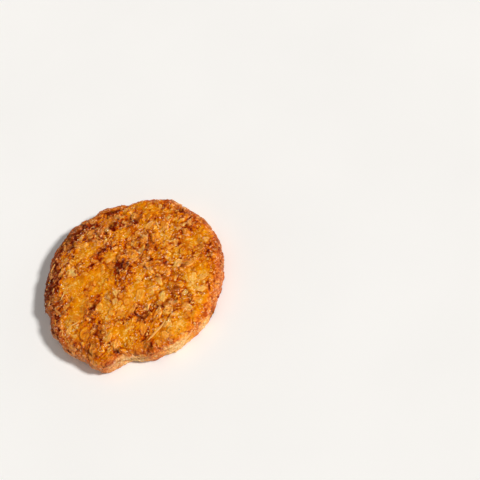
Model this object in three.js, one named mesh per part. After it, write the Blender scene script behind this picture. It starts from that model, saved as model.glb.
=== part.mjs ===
// Oatmeal cookie: one round baked biscuit in a single piece of dough.
// The base is flat, the wall is rough and leans in a little towards its foot,
// the upper edge is rounded, and the top is a low dome made lumpy by the rolled
// oats baked into it. The outline is round, with the bulges, dips and notches of
// a hand-pressed edge. Millimetres, +Z up, resting on the plane z = 0.
import * as THREE from "three";
import { mergeVertices } from "three/addons/utils/BufferGeometryUtils.js";

// ---- driving dimensions (mm) ----
const RADIUS = 33.6; // mean radius at the widest ring
const THICKNESS = 9.3; // height of the middle of the dome
const SHOULDER_Z = 7.9; // height where the dome turns into the rounded upper edge
const UPPER_EDGE_OUT = 3.3; // radial size of the rounded upper edge
const UPPER_EDGE_DROP = 2.9; // its vertical size
const WALL_FOOT_Z = 2.0; // height where the wall turns into the rounded lower edge
const WALL_LEAN = 0.5; // how far the wall leans in between its top and its foot
const LOWER_EDGE_IN = 2.0; // radial size of the rounded lower edge
const DOME_POWER = 2.6; // how flat the middle of the dome is

// ---- bulges (+) and dips (-) of the edge: direction and half-width in degrees, radial mm ----
const EDGE_SHAPE = [
  { at: 22, half: 12, by: 0.55 },
  { at: 48, half: 8, by: -0.45 },
  { at: 96, half: 13, by: -1.4 },
  { at: 138, half: 4, by: 0.75 },
  { at: 158, half: 6, by: 0.4 },
  { at: 182, half: 9, by: -0.45 },
  { at: 204, half: 4, by: -0.8 },
  { at: 232, half: 9, by: 0.6 },
  { at: 256, half: 6, by: 1.9 },
  { at: 280, half: 9, by: -1.45 },
  { at: 298, half: 4, by: -0.65 },
  { at: 330, half: 4, by: 0.8 },
];

// ---- lumps left on the dome by the oats under the crust ----
const LUMP_COUNT = 112;
const LUMP_SIZE = { min: 1.4, max: 2.6 }; // reach of a lump
const LUMP_HEIGHT = { min: -0.36, max: 0.52 }; // below zero is a hollow
const LUMP_STRAY = 1.9; // how far a lump sits from its even place
const SWELL_HEIGHT = 0.28; // slow rise and fall of the whole top
const WALL_ROUGHNESS = 0.32; // how far the wall goes in and out

// ---- facets ----
const SEGMENTS = 108;
const RINGS = { top: 17, upperEdge: 4, wall: 3, lowerEdge: 3 };

const GOLDEN_ANGLE = Math.PI * (3 - Math.sqrt(5));
const uneven = (n) => Math.abs(Math.sin(n * 127.1 + 311.7) * 43758.5453) % 1; // 0 to 1, scattered
const mix = (range, t) => range.min + (range.max - range.min) * t;
const clamp01 = (v) => Math.min(1, Math.max(0, v));

// Half of the cross-section, from the middle of the base round the edge to the middle of the dome.
function crossSection() {
  const points = [new THREE.Vector2(0, 0)];
  const footRadius = RADIUS - WALL_LEAN;
  const wallTop = SHOULDER_Z - UPPER_EDGE_DROP;
  for (let i = 0; i <= RINGS.lowerEdge; i++) {
    const a = (i / RINGS.lowerEdge) * (Math.PI / 2);
    points.push(new THREE.Vector2(footRadius - LOWER_EDGE_IN * (1 - Math.sin(a)), WALL_FOOT_Z * (1 - Math.cos(a))));
  }
  for (let i = 1; i <= RINGS.wall; i++) {
    const t = i / RINGS.wall;
    points.push(new THREE.Vector2(footRadius + WALL_LEAN * t, WALL_FOOT_Z + (wallTop - WALL_FOOT_Z) * t));
  }
  for (let i = 1; i <= RINGS.upperEdge; i++) {
    const a = (i / RINGS.upperEdge) * (Math.PI / 2);
    points.push(new THREE.Vector2(RADIUS - UPPER_EDGE_OUT * (1 - Math.cos(a)), wallTop + UPPER_EDGE_DROP * Math.sin(a)));
  }
  const shoulder = RADIUS - UPPER_EDGE_OUT;
  for (let i = RINGS.top - 1; i >= 0; i--) {
    const t = i / RINGS.top;
    points.push(new THREE.Vector2(shoulder * t, SHOULDER_Z + (THICKNESS - SHOULDER_Z) * (1 - t ** DOME_POWER)));
  }
  return points;
}

// The outline as a multiple of the mean radius, by direction.
function outline(theta) {
  let r = RADIUS;
  for (const { at, half, by } of EDGE_SHAPE) {
    const off = ((((theta * 180) / Math.PI - at + 180) % 360) + 360) % 360 - 180;
    r += by * Math.exp(-0.5 * (off / half) ** 2);
  }
  return r / RADIUS;
}

// Rise and fall of the dome: a slow swell, and lumps strayed from a sunflower spiral.
const lumps = Array.from({ length: LUMP_COUNT }, (_, i) => {
  const r = (RADIUS - 1.5) * Math.sqrt((i + 0.5) / LUMP_COUNT);
  return {
    x: r * Math.cos(i * GOLDEN_ANGLE) + LUMP_STRAY * (2 * uneven(4 * i) - 1),
    y: r * Math.sin(i * GOLDEN_ANGLE) + LUMP_STRAY * (2 * uneven(4 * i + 1) - 1),
    size: mix(LUMP_SIZE, uneven(4 * i + 2)),
    height: mix(LUMP_HEIGHT, uneven(4 * i + 3)),
  };
});
function topRelief(x, y) {
  let z = SWELL_HEIGHT * Math.sin(0.17 * x + 0.09 * y + 0.8) * Math.cos(0.15 * y - 0.07 * x);
  for (const lump of lumps) {
    const d2 = ((x - lump.x) ** 2 + (y - lump.y) ** 2) / lump.size ** 2;
    if (d2 < 12) z += lump.height * Math.exp(-0.5 * d2);
  }
  return z;
}

// In and out of the wall, by direction and height.
function wallRelief(theta, z) {
  const wave = Math.sin(19 * theta + 1.7 * Math.sin(0.8 * z)) + 0.8 * Math.sin(31 * theta - 0.9 * z + 1.3) + 0.6 * Math.sin(11 * theta + 1.1 * z);
  return (WALL_ROUGHNESS / 2.4) * wave;
}

// Turn the cross-section about the upright axis, then give the round its uneven outline and relief.
function cookieGeometry() {
  const lathe = new THREE.LatheGeometry(crossSection(), SEGMENTS);
  lathe.rotateX(Math.PI / 2);
  lathe.deleteAttribute("normal");
  lathe.deleteAttribute("uv");
  const geometry = mergeVertices(lathe, 1e-4);

  // Leave out the facets that have no area at the axis.
  const source = geometry.getIndex();
  const index = [];
  for (let i = 0; i < source.count; i += 3) {
    const [a, b, c] = [source.getX(i), source.getX(i + 1), source.getX(i + 2)];
    if (a !== b && b !== c && c !== a) index.push(a, b, c);
  }
  geometry.setIndex(index);

  const wallTop = SHOULDER_Z - UPPER_EDGE_DROP;
  const position = geometry.getAttribute("position");
  for (let i = 0; i < position.count; i++) {
    const x = position.getX(i);
    const y = position.getY(i);
    const z = position.getZ(i);
    if (Math.abs(z) < 1e-6) {
      // the base stays flat and only follows the outline
      const k = outline(Math.atan2(y, x));
      position.setXYZ(i, x * k, y * k, 0);
      continue;
    }
    const theta = Math.atan2(y, x);
    const r = Math.hypot(x, y);
    const onWall = Math.sin(Math.PI * clamp01(z / SHOULDER_Z)) * clamp01((r - (RADIUS - 6)) / 3);
    const onTop = clamp01((z - wallTop) / UPPER_EDGE_DROP);
    const k = outline(theta) + (onWall * wallRelief(theta, z)) / RADIUS;
    position.setXYZ(i, x * k, y * k, z + onTop * topRelief(x * k, y * k));
  }

  // The origin is the middle of the footprint, on the plane the cookie rests on.
  geometry.computeBoundingBox();
  const { min, max } = geometry.boundingBox;
  geometry.translate(-(min.x + max.x) / 2, -(min.y + max.y) / 2, -min.z);
  geometry.computeVertexNormals();
  return geometry;
}

const bakedDough = new THREE.MeshStandardMaterial({
  name: "baked_oat_dough",
  color: new THREE.Color().setRGB(0.8, 0.47, 0.15, THREE.SRGBColorSpace),
  roughness: 0.55,
  metalness: 0,
});

const cookie = new THREE.Mesh(cookieGeometry(), bakedDough);
cookie.name = "cookie";

const oatmealCookie = new THREE.Group();
oatmealCookie.name = "oatmeal_cookie";
oatmealCookie.add(cookie);

export default oatmealCookie;
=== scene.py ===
import math

import bpy
import numpy as np
from mathutils import Matrix, Vector


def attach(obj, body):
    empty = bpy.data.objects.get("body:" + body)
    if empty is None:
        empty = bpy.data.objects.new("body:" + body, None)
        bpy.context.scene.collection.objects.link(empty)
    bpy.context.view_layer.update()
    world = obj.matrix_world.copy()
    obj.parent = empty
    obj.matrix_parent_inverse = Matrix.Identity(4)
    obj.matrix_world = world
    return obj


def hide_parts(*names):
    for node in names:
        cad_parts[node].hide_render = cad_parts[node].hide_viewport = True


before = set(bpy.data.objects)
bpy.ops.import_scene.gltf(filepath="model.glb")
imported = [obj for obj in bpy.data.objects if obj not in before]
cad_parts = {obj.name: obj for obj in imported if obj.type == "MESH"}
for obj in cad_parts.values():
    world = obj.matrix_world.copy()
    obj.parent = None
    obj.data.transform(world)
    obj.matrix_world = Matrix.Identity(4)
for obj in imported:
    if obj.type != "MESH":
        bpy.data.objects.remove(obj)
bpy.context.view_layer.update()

MM = 0.001
TAU = 2.0 * math.pi

# ------------------------------------------------------------------ form of the cookie (mm)
RADIUS, THICKNESS = 33.6, 9.3
SHOULDER_Z, UPPER_OUT, UPPER_DROP = 7.9, 3.3, 2.9
FOOT_Z, WALL_LEAN, LOWER_IN, DOME_POWER = 1.5, 0.5, 1.5, 2.6
SHOULDER_R = RADIUS - UPPER_OUT
AXIS = np.array([-0.2298, 0.9434])  # where the upright axis stands in the frame
EDGE_SHAPE = [  # direction and half-width in degrees, radial mm
    (22, 12, 0.55), (48, 8, -0.45), (96, 13, -1.4), (138, 4, 0.75), (158, 6, 0.4), (182, 9, -0.45),
    (204, 4, -0.8), (232, 9, 0.6), (256, 6, 1.9), (280, 9, -1.45), (298, 4, -0.65), (330, 4, 0.8),
    (102, 5, -0.8), (119, 4, -0.4), (167, 5, -0.4), (208, 3, -1.1), (222, 7, -0.4), (258, 5, -0.5), (274, 4, -1.3),
    (98, 3, -0.4), (126, 3, -0.45), (174, 3, -0.6), (189, 6, -0.45), (215, 2.5, 0.4), (247, 4, -0.7), (260, 3, 0.8), (269, 3, -0.6), (279, 6, -0.4),
]


def smooth(lo, hi, v):
    t = np.clip((v - lo) / (hi - lo), 0.0, 1.0)
    return t * t * (3.0 - 2.0 * t)


def outline(theta):
    """The uneven outline as a multiple of the mean radius."""
    deg = np.degrees(theta)
    r = np.full_like(deg, RADIUS)
    for at, half, by in EDGE_SHAPE:
        off = (deg - at + 180.0) % 360.0 - 180.0
        r += by * np.exp(-0.5 * (off / half) ** 2)
    return r / RADIUS


def dome(t):
    """Height of the dome; t is 0 in the middle and 1 at the shoulder."""
    return SHOULDER_Z + (THICKNESS - SHOULDER_Z) * (1.0 - np.clip(t, 0, 1) ** DOME_POWER)


def uneven(n):
    return np.abs(np.sin(n * 127.1 + 311.7) * 43758.5453) % 1.0


# ------------------------------------------------------------------ camera
FRAME = 480
AZ, EL, ROLL = 30.0, 55.0, 30.0
CAM_DIST, LENS, SENSOR = 473.5, 100.0, 36.0
AIM_PX = (131.6, 282.2)  # where the middle of the cookie sits in the frame


def camera_axes():
    a, e, r = (math.radians(v) for v in (AZ, EL, ROLL))
    back = np.array([math.sin(a) * math.cos(e), -math.cos(a) * math.cos(e), math.sin(e)])
    r0 = np.array([math.cos(a), math.sin(a), 0.0])
    u0 = np.cross(back, r0)
    right = math.cos(r) * r0 - math.sin(r) * u0
    up = math.sin(r) * r0 + math.cos(r) * u0
    k = CAM_DIST * SENSOR / LENS / FRAME
    pos = np.array([0.0, 0.0, 5.0]) + back * CAM_DIST
    pos = pos - right * (AIM_PX[0] - FRAME / 2) * k - up * (FRAME / 2 - AIM_PX[1]) * k
    return right, up, back, pos


CAM_RIGHT, CAM_UP, CAM_BACK, CAM_POS = camera_axes()


def at_px(px, py, z=9.0):
    """The point of the level z (mm) seen at a pixel, measured from the cookie's axis."""
    f = LENS / SENSOR * FRAME
    d = CAM_RIGHT * (px - FRAME / 2) / f + CAM_UP * (FRAME / 2 - py) / f - CAM_BACK
    p = CAM_POS + d * ((z - CAM_POS[2]) / d[2])
    return p[:2] - AXIS


def px_dir(px0, py0, px1, py1):
    """Direction in the plan of a line drawn between two pixels, and its length in mm."""
    d = at_px(px1, py1) - at_px(px0, py0)
    return math.atan2(d[1], d[0]), float(np.hypot(*d))


# ------------------------------------------------------------------ fields over the top, one cell each 0.1 mm
CELL = 0.1
HALF = 36.0
NG = int(round(2 * HALF / CELL))
_c = (np.arange(NG) + 0.5) * CELL - HALF
GX, GY = np.meshgrid(_c, _c, indexing="xy")  # [row = y, column = x]
GR = np.hypot(GX, GY)
GT = np.arctan2(GY, GX)
GK = outline(GT)
GN = GR / GK  # radius on the plain round
rng = np.random.default_rng(20417)


def band(shape, wave_y, wave_x=None, seed=0):
    """Smooth random field of unit spread with about the given wavelength in cells; it wraps round."""
    wave_x = wave_x or wave_y
    g = np.random.default_rng(seed).standard_normal(shape)
    fy = np.fft.fftfreq(shape[0])[:, None] * wave_y
    fx = np.fft.rfftfreq(shape[1])[None, :] * wave_x
    f2 = fy * fy + fx * fx
    out = np.fft.irfft2(np.fft.rfft2(g) * np.exp(-0.5 * f2 * 4.0) * np.sqrt(f2 + 1e-4), s=shape)
    return out / out.std()


def blur(a, sigma_cells):
    fy = np.fft.fftfreq(a.shape[0])[:, None]
    fx = np.fft.rfftfreq(a.shape[1])[None, :]
    return np.fft.irfft2(np.fft.rfft2(a) * np.exp(-2.0 * (math.pi * sigma_cells) ** 2 * (fy * fy + fx * fx)), s=a.shape)


class Surface:
    """Relief and colour fields of one sheet of crust; a flake is pressed into them cell by cell."""

    def __init__(self, xs, ys, wrap=0.0):
        self.x, self.y, self.wrap = xs, ys, wrap
        shape = (len(ys), len(xs))
        self.h = np.zeros(shape)       # relief along the surface's normal, mm
        self.brown = np.zeros(shape)   # how toasted, 0 to 1
        self.oat = np.zeros(shape)     # oat under the glaze, 0 to 1
        self.tint = np.full(shape, 0.5)
        self.pale = np.zeros(shape)    # unbaked-looking crumb

    def window(self, cx, cy, reach):
        step_x, step_y = self.x[1] - self.x[0], self.y[1] - self.y[0]
        j0 = max(0, int((cy - reach - self.y[0]) / step_y))
        j1 = min(len(self.y), int((cy + reach - self.y[0]) / step_y) + 2)
        i0 = int(math.floor((cx - reach - self.x[0]) / step_x))
        i1 = int(math.floor((cx + reach - self.x[0]) / step_x)) + 2
        if not self.wrap:
            i0, i1 = max(0, i0), min(len(self.x), i1)
            cols = np.arange(i0, max(i0, i1))
            u = self.x[cols] - cx
        else:
            cols = np.arange(i0, i1) % len(self.x)
            u = (self.x[cols] - cx + self.wrap / 2) % self.wrap - self.wrap / 2
        rows = np.arange(j0, max(j0, j1))
        v = self.y[rows] - cy
        return np.ix_(rows, cols), u[None, :], v[:, None]

    def at(self, field, px, py):
        """Bilinear look-up at points."""
        step_x, step_y = self.x[1] - self.x[0], self.y[1] - self.y[0]
        fx, fy = (px - self.x[0]) / step_x, (py - self.y[0]) / step_y
        if self.wrap:
            fx = fx % len(self.x)
            i0 = np.floor(fx).astype(int) % len(self.x)
            i1 = (i0 + 1) % len(self.x)
            tx = fx - np.floor(fx)
        else:
            fx = np.clip(fx, 0, len(self.x) - 1.001)
            i0 = fx.astype(int)
            i1 = i0 + 1
            tx = fx - i0
        fy = np.clip(fy, 0, len(self.y) - 1.001)
        j0 = fy.astype(int)
        ty = fy - j0
        return (field[j0, i0] * (1 - tx) + field[j0, i1] * tx) * (1 - ty) + (field[j0 + 1, i0] * (1 - tx) + field[j0 + 1, i1] * tx) * ty


def ragged(r, phi, amount):
    """Uneven outline factor of a flake or blotch."""
    k = np.ones_like(phi)
    for n in (2, 3, 4, 5, 7):
        k = k + amount / n ** 0.6 * r.normal() * 0.55 * np.cos(n * phi + r.uniform(0, TAU))
    return np.clip(k, 0.55, 1.5)


def broken(r, phi, amount):
    """Outline factor of a broken flake: a rounded polygon with uneven sides."""
    n = int(r.integers(5, 9))
    at = (np.arange(n) + r.uniform(-0.32, 0.32, n)) * TAU / n + r.uniform(0, TAU)
    far = np.clip(1.0 + amount * r.normal(size=n), 0.6, 1.5)
    near = np.clip(np.cos(phi[..., None] - at), 0.0, None) / far
    return 0.97 * np.clip((near ** 10).sum(-1) ** -0.1, 0.55, 1.5)


def press_flake(s, r, cx, cy, a, b, turn, height, tint, tilt=(0.0, 0.0), soft=0.16, rim_brown=0.3, show=0.6, rim_highlight=0.25, crease=0.0, rag=0.2):
    """An oat flake under the glaze: a broken plate with one side standing out of the dough and the other sunk into it."""
    win, u, v = s.window(cx, cy, max(a, b) * 1.8 + 0.6)
    if win[0].size == 0 or win[1].size == 0:
        return
    c, sn = math.cos(turn), math.sin(turn)
    p, q = u * c + v * sn, -u * sn + v * c
    phi = np.arctan2(q / b, p / a)
    rho = np.hypot(p / a, q / b) / broken(r, phi, rag)
    side = (0.5 + 0.5 * np.cos(phi - r.uniform(0, TAU))) ** 1.3
    melt = soft + 0.30 * (1 - side)
    plate = 1.0 - smooth(1.0 - melt, 1.0 + melt, rho)
    ground = s.h[win]
    mean = float((ground * plate).sum() / max(plate.sum(), 1e-6))
    thin = max(0.13, 0.17 / min(a, b))
    lip = np.exp(-((rho - 0.87) / thin) ** 2) * side
    lid = 0.4 * mean + 0.6 * ground + height * (0.22 + 0.35 * side * np.clip(rho, 0, 1) + 0.45 * lip) + tilt[0] * p + tilt[1] * q
    if crease:
        lid = lid - crease * height * np.exp(-((q / b - 0.15 * np.sin(2.2 * p / a + 0.7)) / 0.14) ** 2) * (rho < 1)
    streak = np.sin(q * r.uniform(5.0, 8.5) + 1.6 * np.sin(p * r.uniform(1.0, 2.2) + r.uniform(0, TAU)) + r.uniform(0, TAU))
    lid = lid + 0.15 * height * streak
    lid = np.maximum(lid, ground - 0.06)
    crack = np.exp(-((rho - 1.0 - thin) / thin) ** 2) * side
    s.h[win] = ground * (1 - plate) + lid * plate - 0.30 * height * crack
    s.oat[win] = s.oat[win] * (1 - 0.8 * plate) + show * plate
    # the pale lip along the raised edge is a painted highlight
    s.tint[win] = s.tint[win] * (1 - plate) + (tint + 0.08 * streak + rim_highlight * lip) * plate
    s.brown[win] += rim_brown * crack


def press_pit(s, r, cx, cy, a, b, turn, depth, brown):
    """A small hollow with an uneven outline, darker inside."""
    win, u, v = s.window(cx, cy, max(a, b) * 2.4 + 0.4)
    if win[0].size == 0 or win[1].size == 0:
        return
    c, sn = math.cos(turn), math.sin(turn)
    p, q = u * c + v * sn, -u * sn + v * c
    phi = np.arctan2(q / b, p / a)
    rho = np.hypot(p / a, q / b) / ragged(r, phi, 0.26)
    s.h[win] -= depth * np.exp(-(rho ** 2.4))
    s.h[win] += 0.15 * depth * np.exp(-((rho - 1.5) / 0.3) ** 2)
    s.brown[win] += brown * np.exp(-((rho / 1.25) ** 2))
    s.oat[win] *= 1.0 - 0.7 * np.exp(-((rho / 1.25) ** 2))


def press_blotch(s, r, cx, cy, a, b, turn, brown):
    """A toasted (above zero) or golden (below zero) patch of crust."""
    win, u, v = s.window(cx, cy, max(a, b) * 2.6)
    if win[0].size == 0 or win[1].size == 0:
        return
    c, sn = math.cos(turn), math.sin(turn)
    p, q = u * c + v * sn, -u * sn + v * c
    phi = np.arctan2(q / b, p / a)
    rho = np.hypot(p / a, q / b) / ragged(r, phi, 0.35)
    s.brown[win] += brown * np.exp(-(rho ** 2))


# ------------------------------------------------------------------ the top sheet
top = Surface(_c, _c)
shape = (NG, NG)
swell = 0.28 * np.sin(0.17 * GX + 0.09 * GY + 0.8) * np.cos(0.15 * GY - 0.07 * GX)
i_l = np.arange(112)
r_l = (RADIUS - 1.5) * np.sqrt((i_l + 0.5) / 112)
golden = math.pi * (3 - math.sqrt(5))
lump_x = r_l * np.cos(i_l * golden) + 1.9 * (2 * uneven(4 * i_l) - 1)
lump_y = r_l * np.sin(i_l * golden) + 1.9 * (2 * uneven(4 * i_l + 1) - 1)
lump_s = 1.4 + 1.2 * uneven(4 * i_l + 2)
lump_h = -0.36 + 0.88 * uneven(4 * i_l + 3)
top.h += swell
for lx, ly, ls, lh in zip(lump_x, lump_y, lump_s, lump_h):
    win, u, v = top.window(lx, ly, 3.5 * ls)
    top.h[win] += 0.8 * lh * np.exp(-0.5 * (u * u + v * v) / ls ** 2)

n_wide = band(shape, 90, seed=1)
n_mid = band(shape, 36, seed=2)
n_small = band(shape, 15, seed=3)
n_fine = band(shape, 7, seed=4)

# smooth golden stretches of dough between the oats: place in pixels, reach along and across in mm, turn in degrees
GOLD = [
    ((98, 275), 5.5, 4.5, 60, 0.9), ((80, 283), 6.0, 3.6, 0, 1.0), ((78, 306), 6.5, 4.5, 70, 1.0), ((88, 252), 4.2, 2.6, 20, 0.8), ((108, 258), 3.2, 2.4, 30, 0.8),
    ((82, 333), 4.6, 3.4, 80, 0.8), ((125, 233), 4.6, 2.2, 10, 0.7), ((140, 292), 3.6, 4.6, 80, 0.9), ((128, 304), 4.6, 4.0, 0, 0.8), ((119, 330), 4.6, 2.8, 10, 0.8),
    ((185, 326), 6.5, 3.8, 30, 1.0), ((160, 332), 5.0, 3.2, 40, 0.9), ((150, 208), 6.0, 3.6, 150, 0.8), ((200, 270), 4.6, 4.0, 0, 0.7), ((143, 325), 3.0, 2.4, 0, 0.6),
    ((112, 285), 3.0, 4.2, 80, 0.7), ((135, 345), 3.2, 2.4, 0, 0.6), ((210, 300), 3.4, 6.0, 70, 0.7), ((140, 272), 3.0, 2.4, 30, 0.5), ((105, 305), 3.0, 3.6, 60, 0.6),
    ((95, 290), 5.0, 4.0, 60, 0.9), ((178, 340), 4.0, 2.0, 35, 0.7), ((100, 362), 4.0, 2.2, 150, 0.5), ((190, 240), 5.0, 4.0, 150, 0.5), ((205, 225), 5.0, 4.0, 120, 0.4),
]
calm = np.zeros(shape)
for (sx, sy), a, b, turn, strength in GOLD:
    cx, cy = at_px(sx, sy)
    c, sn = math.cos(math.radians(turn)), math.sin(math.radians(turn))
    p, q = (GX - cx) * c + (GY - cy) * sn, -(GX - cx) * sn + (GY - cy) * c
    calm = np.maximum(calm, strength * np.exp(-((p / a) ** 2 + (q / b) ** 2) ** 1.3))
calm = np.clip(calm + 0.12 * n_mid * (calm > 0.02), 0, 1)
rough_zone = np.clip(0.62 + 0.22 * n_wide + 0.16 * n_mid - 0.85 * calm, 0.04, 1.0)

top.h += 0.13 * n_mid * (1 - 0.6 * calm) + 0.05 * n_small * (0.25 + 0.9 * rough_zone) + 0.020 * n_fine * (0.5 + 0.7 * rough_zone)
crest = np.exp(-(band(shape, 20, seed=21) / 0.28) ** 2)
crest_fine = np.exp(-(band(shape, 12, seed=22) / 0.30) ** 2)
n_lump = band(shape, 22, seed=23)
top.h += (0.06 * crest + 0.04 * crest_fine) * (0.25 + 0.9 * rough_zone) + 0.09 * n_lump * (0.3 + 0.95 * rough_zone)
# raised crests are painted lighter: painted highlight
top.brown -= (0.08 * crest + 0.05 * crest_fine) * (1 - 0.4 * calm)
crinkle = np.exp(-(band(shape, 9, seed=24) / 0.34) ** 2)
crinkle_fine = np.exp(-(band(shape, 5.5, seed=25) / 0.36) ** 2)
top.h += (0.030 * crinkle + 0.014 * crinkle_fine) * (1 - 0.4 * calm)
# crinkle ridges are painted lighter: painted highlight
top.brown -= 0.21 * (crinkle - 0.29) + 0.14 * (crinkle_fine - 0.32)
top.brown += 0.40 + (0.06 * n_wide + 0.07 * n_mid) * (1 - 0.5 * calm) + (0.075 * n_small + 0.06 * n_fine) * (1 - 0.3 * calm) + 0.16 * (rough_zone - 0.5) - 0.08 * calm


def shards(seed, cell):
    """Broken plates laid edge to edge over the top: number of the plate, offset from its middle, gap to the next plate."""
    g = np.random.default_rng(seed)
    n = int(math.ceil(2 * HALF / cell)) + 5
    mx, my = (np.arange(n)[None, :] - 2 + g.uniform(0, 1, (n, n))) * cell - HALF, (np.arange(n)[:, None] - 2 + g.uniform(0, 1, (n, n))) * cell - HALF
    turn, long = g.uniform(0, math.pi, (n, n)), g.uniform(1.0, 1.6, (n, n))
    gain = g.uniform(0.8, 1.25, (n, n))
    ca, sa = np.cos(turn), np.sin(turn)
    col, row = np.floor((GX + HALF) / cell).astype(int) + 2, np.floor((GY + HALF) / cell).astype(int) + 2
    d1, d2 = np.full(GX.shape, 1e9), np.full(GX.shape, 1e9)
    num, ou, ov = np.zeros(GX.shape, int), np.zeros(GX.shape), np.zeros(GX.shape)
    for dj in range(-2, 3):
        for di in range(-2, 3):
            k = (row + dj, col + di)
            u, v = GX - mx[k], GY - my[k]
            d = np.hypot((u * ca[k] + v * sa[k]) / long[k], (v * ca[k] - u * sa[k]) * long[k]) * gain[k]
            near = d < d1
            d2 = np.where(near, d1, np.minimum(d2, d))
            d1 = np.where(near, d, d1)
            num, ou, ov = np.where(near, k[0] * n + k[1], num), np.where(near, u, ou), np.where(near, v, ov)
    return num, ou, ov, d2 - d1, n * n


for seed, cell, rise, slope, groove, tone in ((41, 2.1, 0.07, 0.075, 0.035, 0.06), (43, 1.15, 0.04, 0.09, 0.02, 0.05)):
    num, ou, ov, gap, count = shards(seed, cell)
    g = np.random.default_rng(seed + 1)
    lean_x, lean_y, up, shade = slope * g.normal(size=count), slope * g.normal(size=count), rise * g.normal(size=count), tone * g.normal(size=count)
    seam = np.exp(-(gap / (0.10 * cell)) ** 2)
    much = 0.15 + 0.95 * rough_zone
    top.h += blur(np.clip(lean_x[num] * ou + lean_y[num] * ov + up[num], -0.28, 0.28) - groove * seam, 0.9) * much
    top.brown += (blur(shade[num], 0.8) + 0.04 * seam) * much


def field_at(field, x, y):
    return float(top.at(field, np.array([x]), np.array([y]))[0])


def scatter(r, count, reach, spacing, taken, keep, near=0.62):
    """Random places in the round, no two nearer than their sizes allow."""
    out = []
    tries = 0
    while len(out) < count and tries < count * 60:
        tries += 1
        rad = reach * math.sqrt(r.uniform())
        t = r.uniform(0, TAU)
        x, y = rad * math.cos(t), rad * math.sin(t)
        if r.uniform() > keep(x, y):
            continue
        size = spacing(r)
        if any((x - q[0]) ** 2 + (y - q[1]) ** 2 < (near * (size + q[2])) ** 2 for q in taken):
            continue
        taken.append((x, y, size))
        out.append((x, y, size))
    return out


# oats sunk under the glaze, large ones first
taken = []
large = scatter(rng, 46, 32.5, lambda r: r.uniform(1.5, 2.6), taken, lambda x, y: field_at(rough_zone, x, y), 0.8)
small = scatter(rng, 430, 33.2, lambda r: 0.5 + 0.9 * r.uniform() ** 1.5, taken, lambda x, y: field_at(rough_zone, x, y) ** 1.2, 0.5)
for x, y, size in large:
    press_flake(top, rng, x, y, size, size * rng.uniform(0.6, 0.85), rng.uniform(0, TAU), rng.uniform(0.20, 0.38), rng.uniform(0.15, 0.80),
                (rng.normal() * 0.07, rng.normal() * 0.07), soft=0.14, rim_brown=rng.uniform(0.05, 0.3), show=rng.uniform(0.35, 0.85), crease=0.10)
for x, y, size in small:
    press_flake(top, rng, x, y, size, size * rng.uniform(0.5, 0.9), rng.uniform(0, TAU), rng.uniform(0.14, 0.32), rng.uniform(0.15, 1.0),
                (rng.normal() * 0.14, rng.normal() * 0.14), soft=0.2, rim_brown=rng.uniform(0.0, 0.25), show=rng.uniform(0.35, 0.95), rag=0.2)

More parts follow.
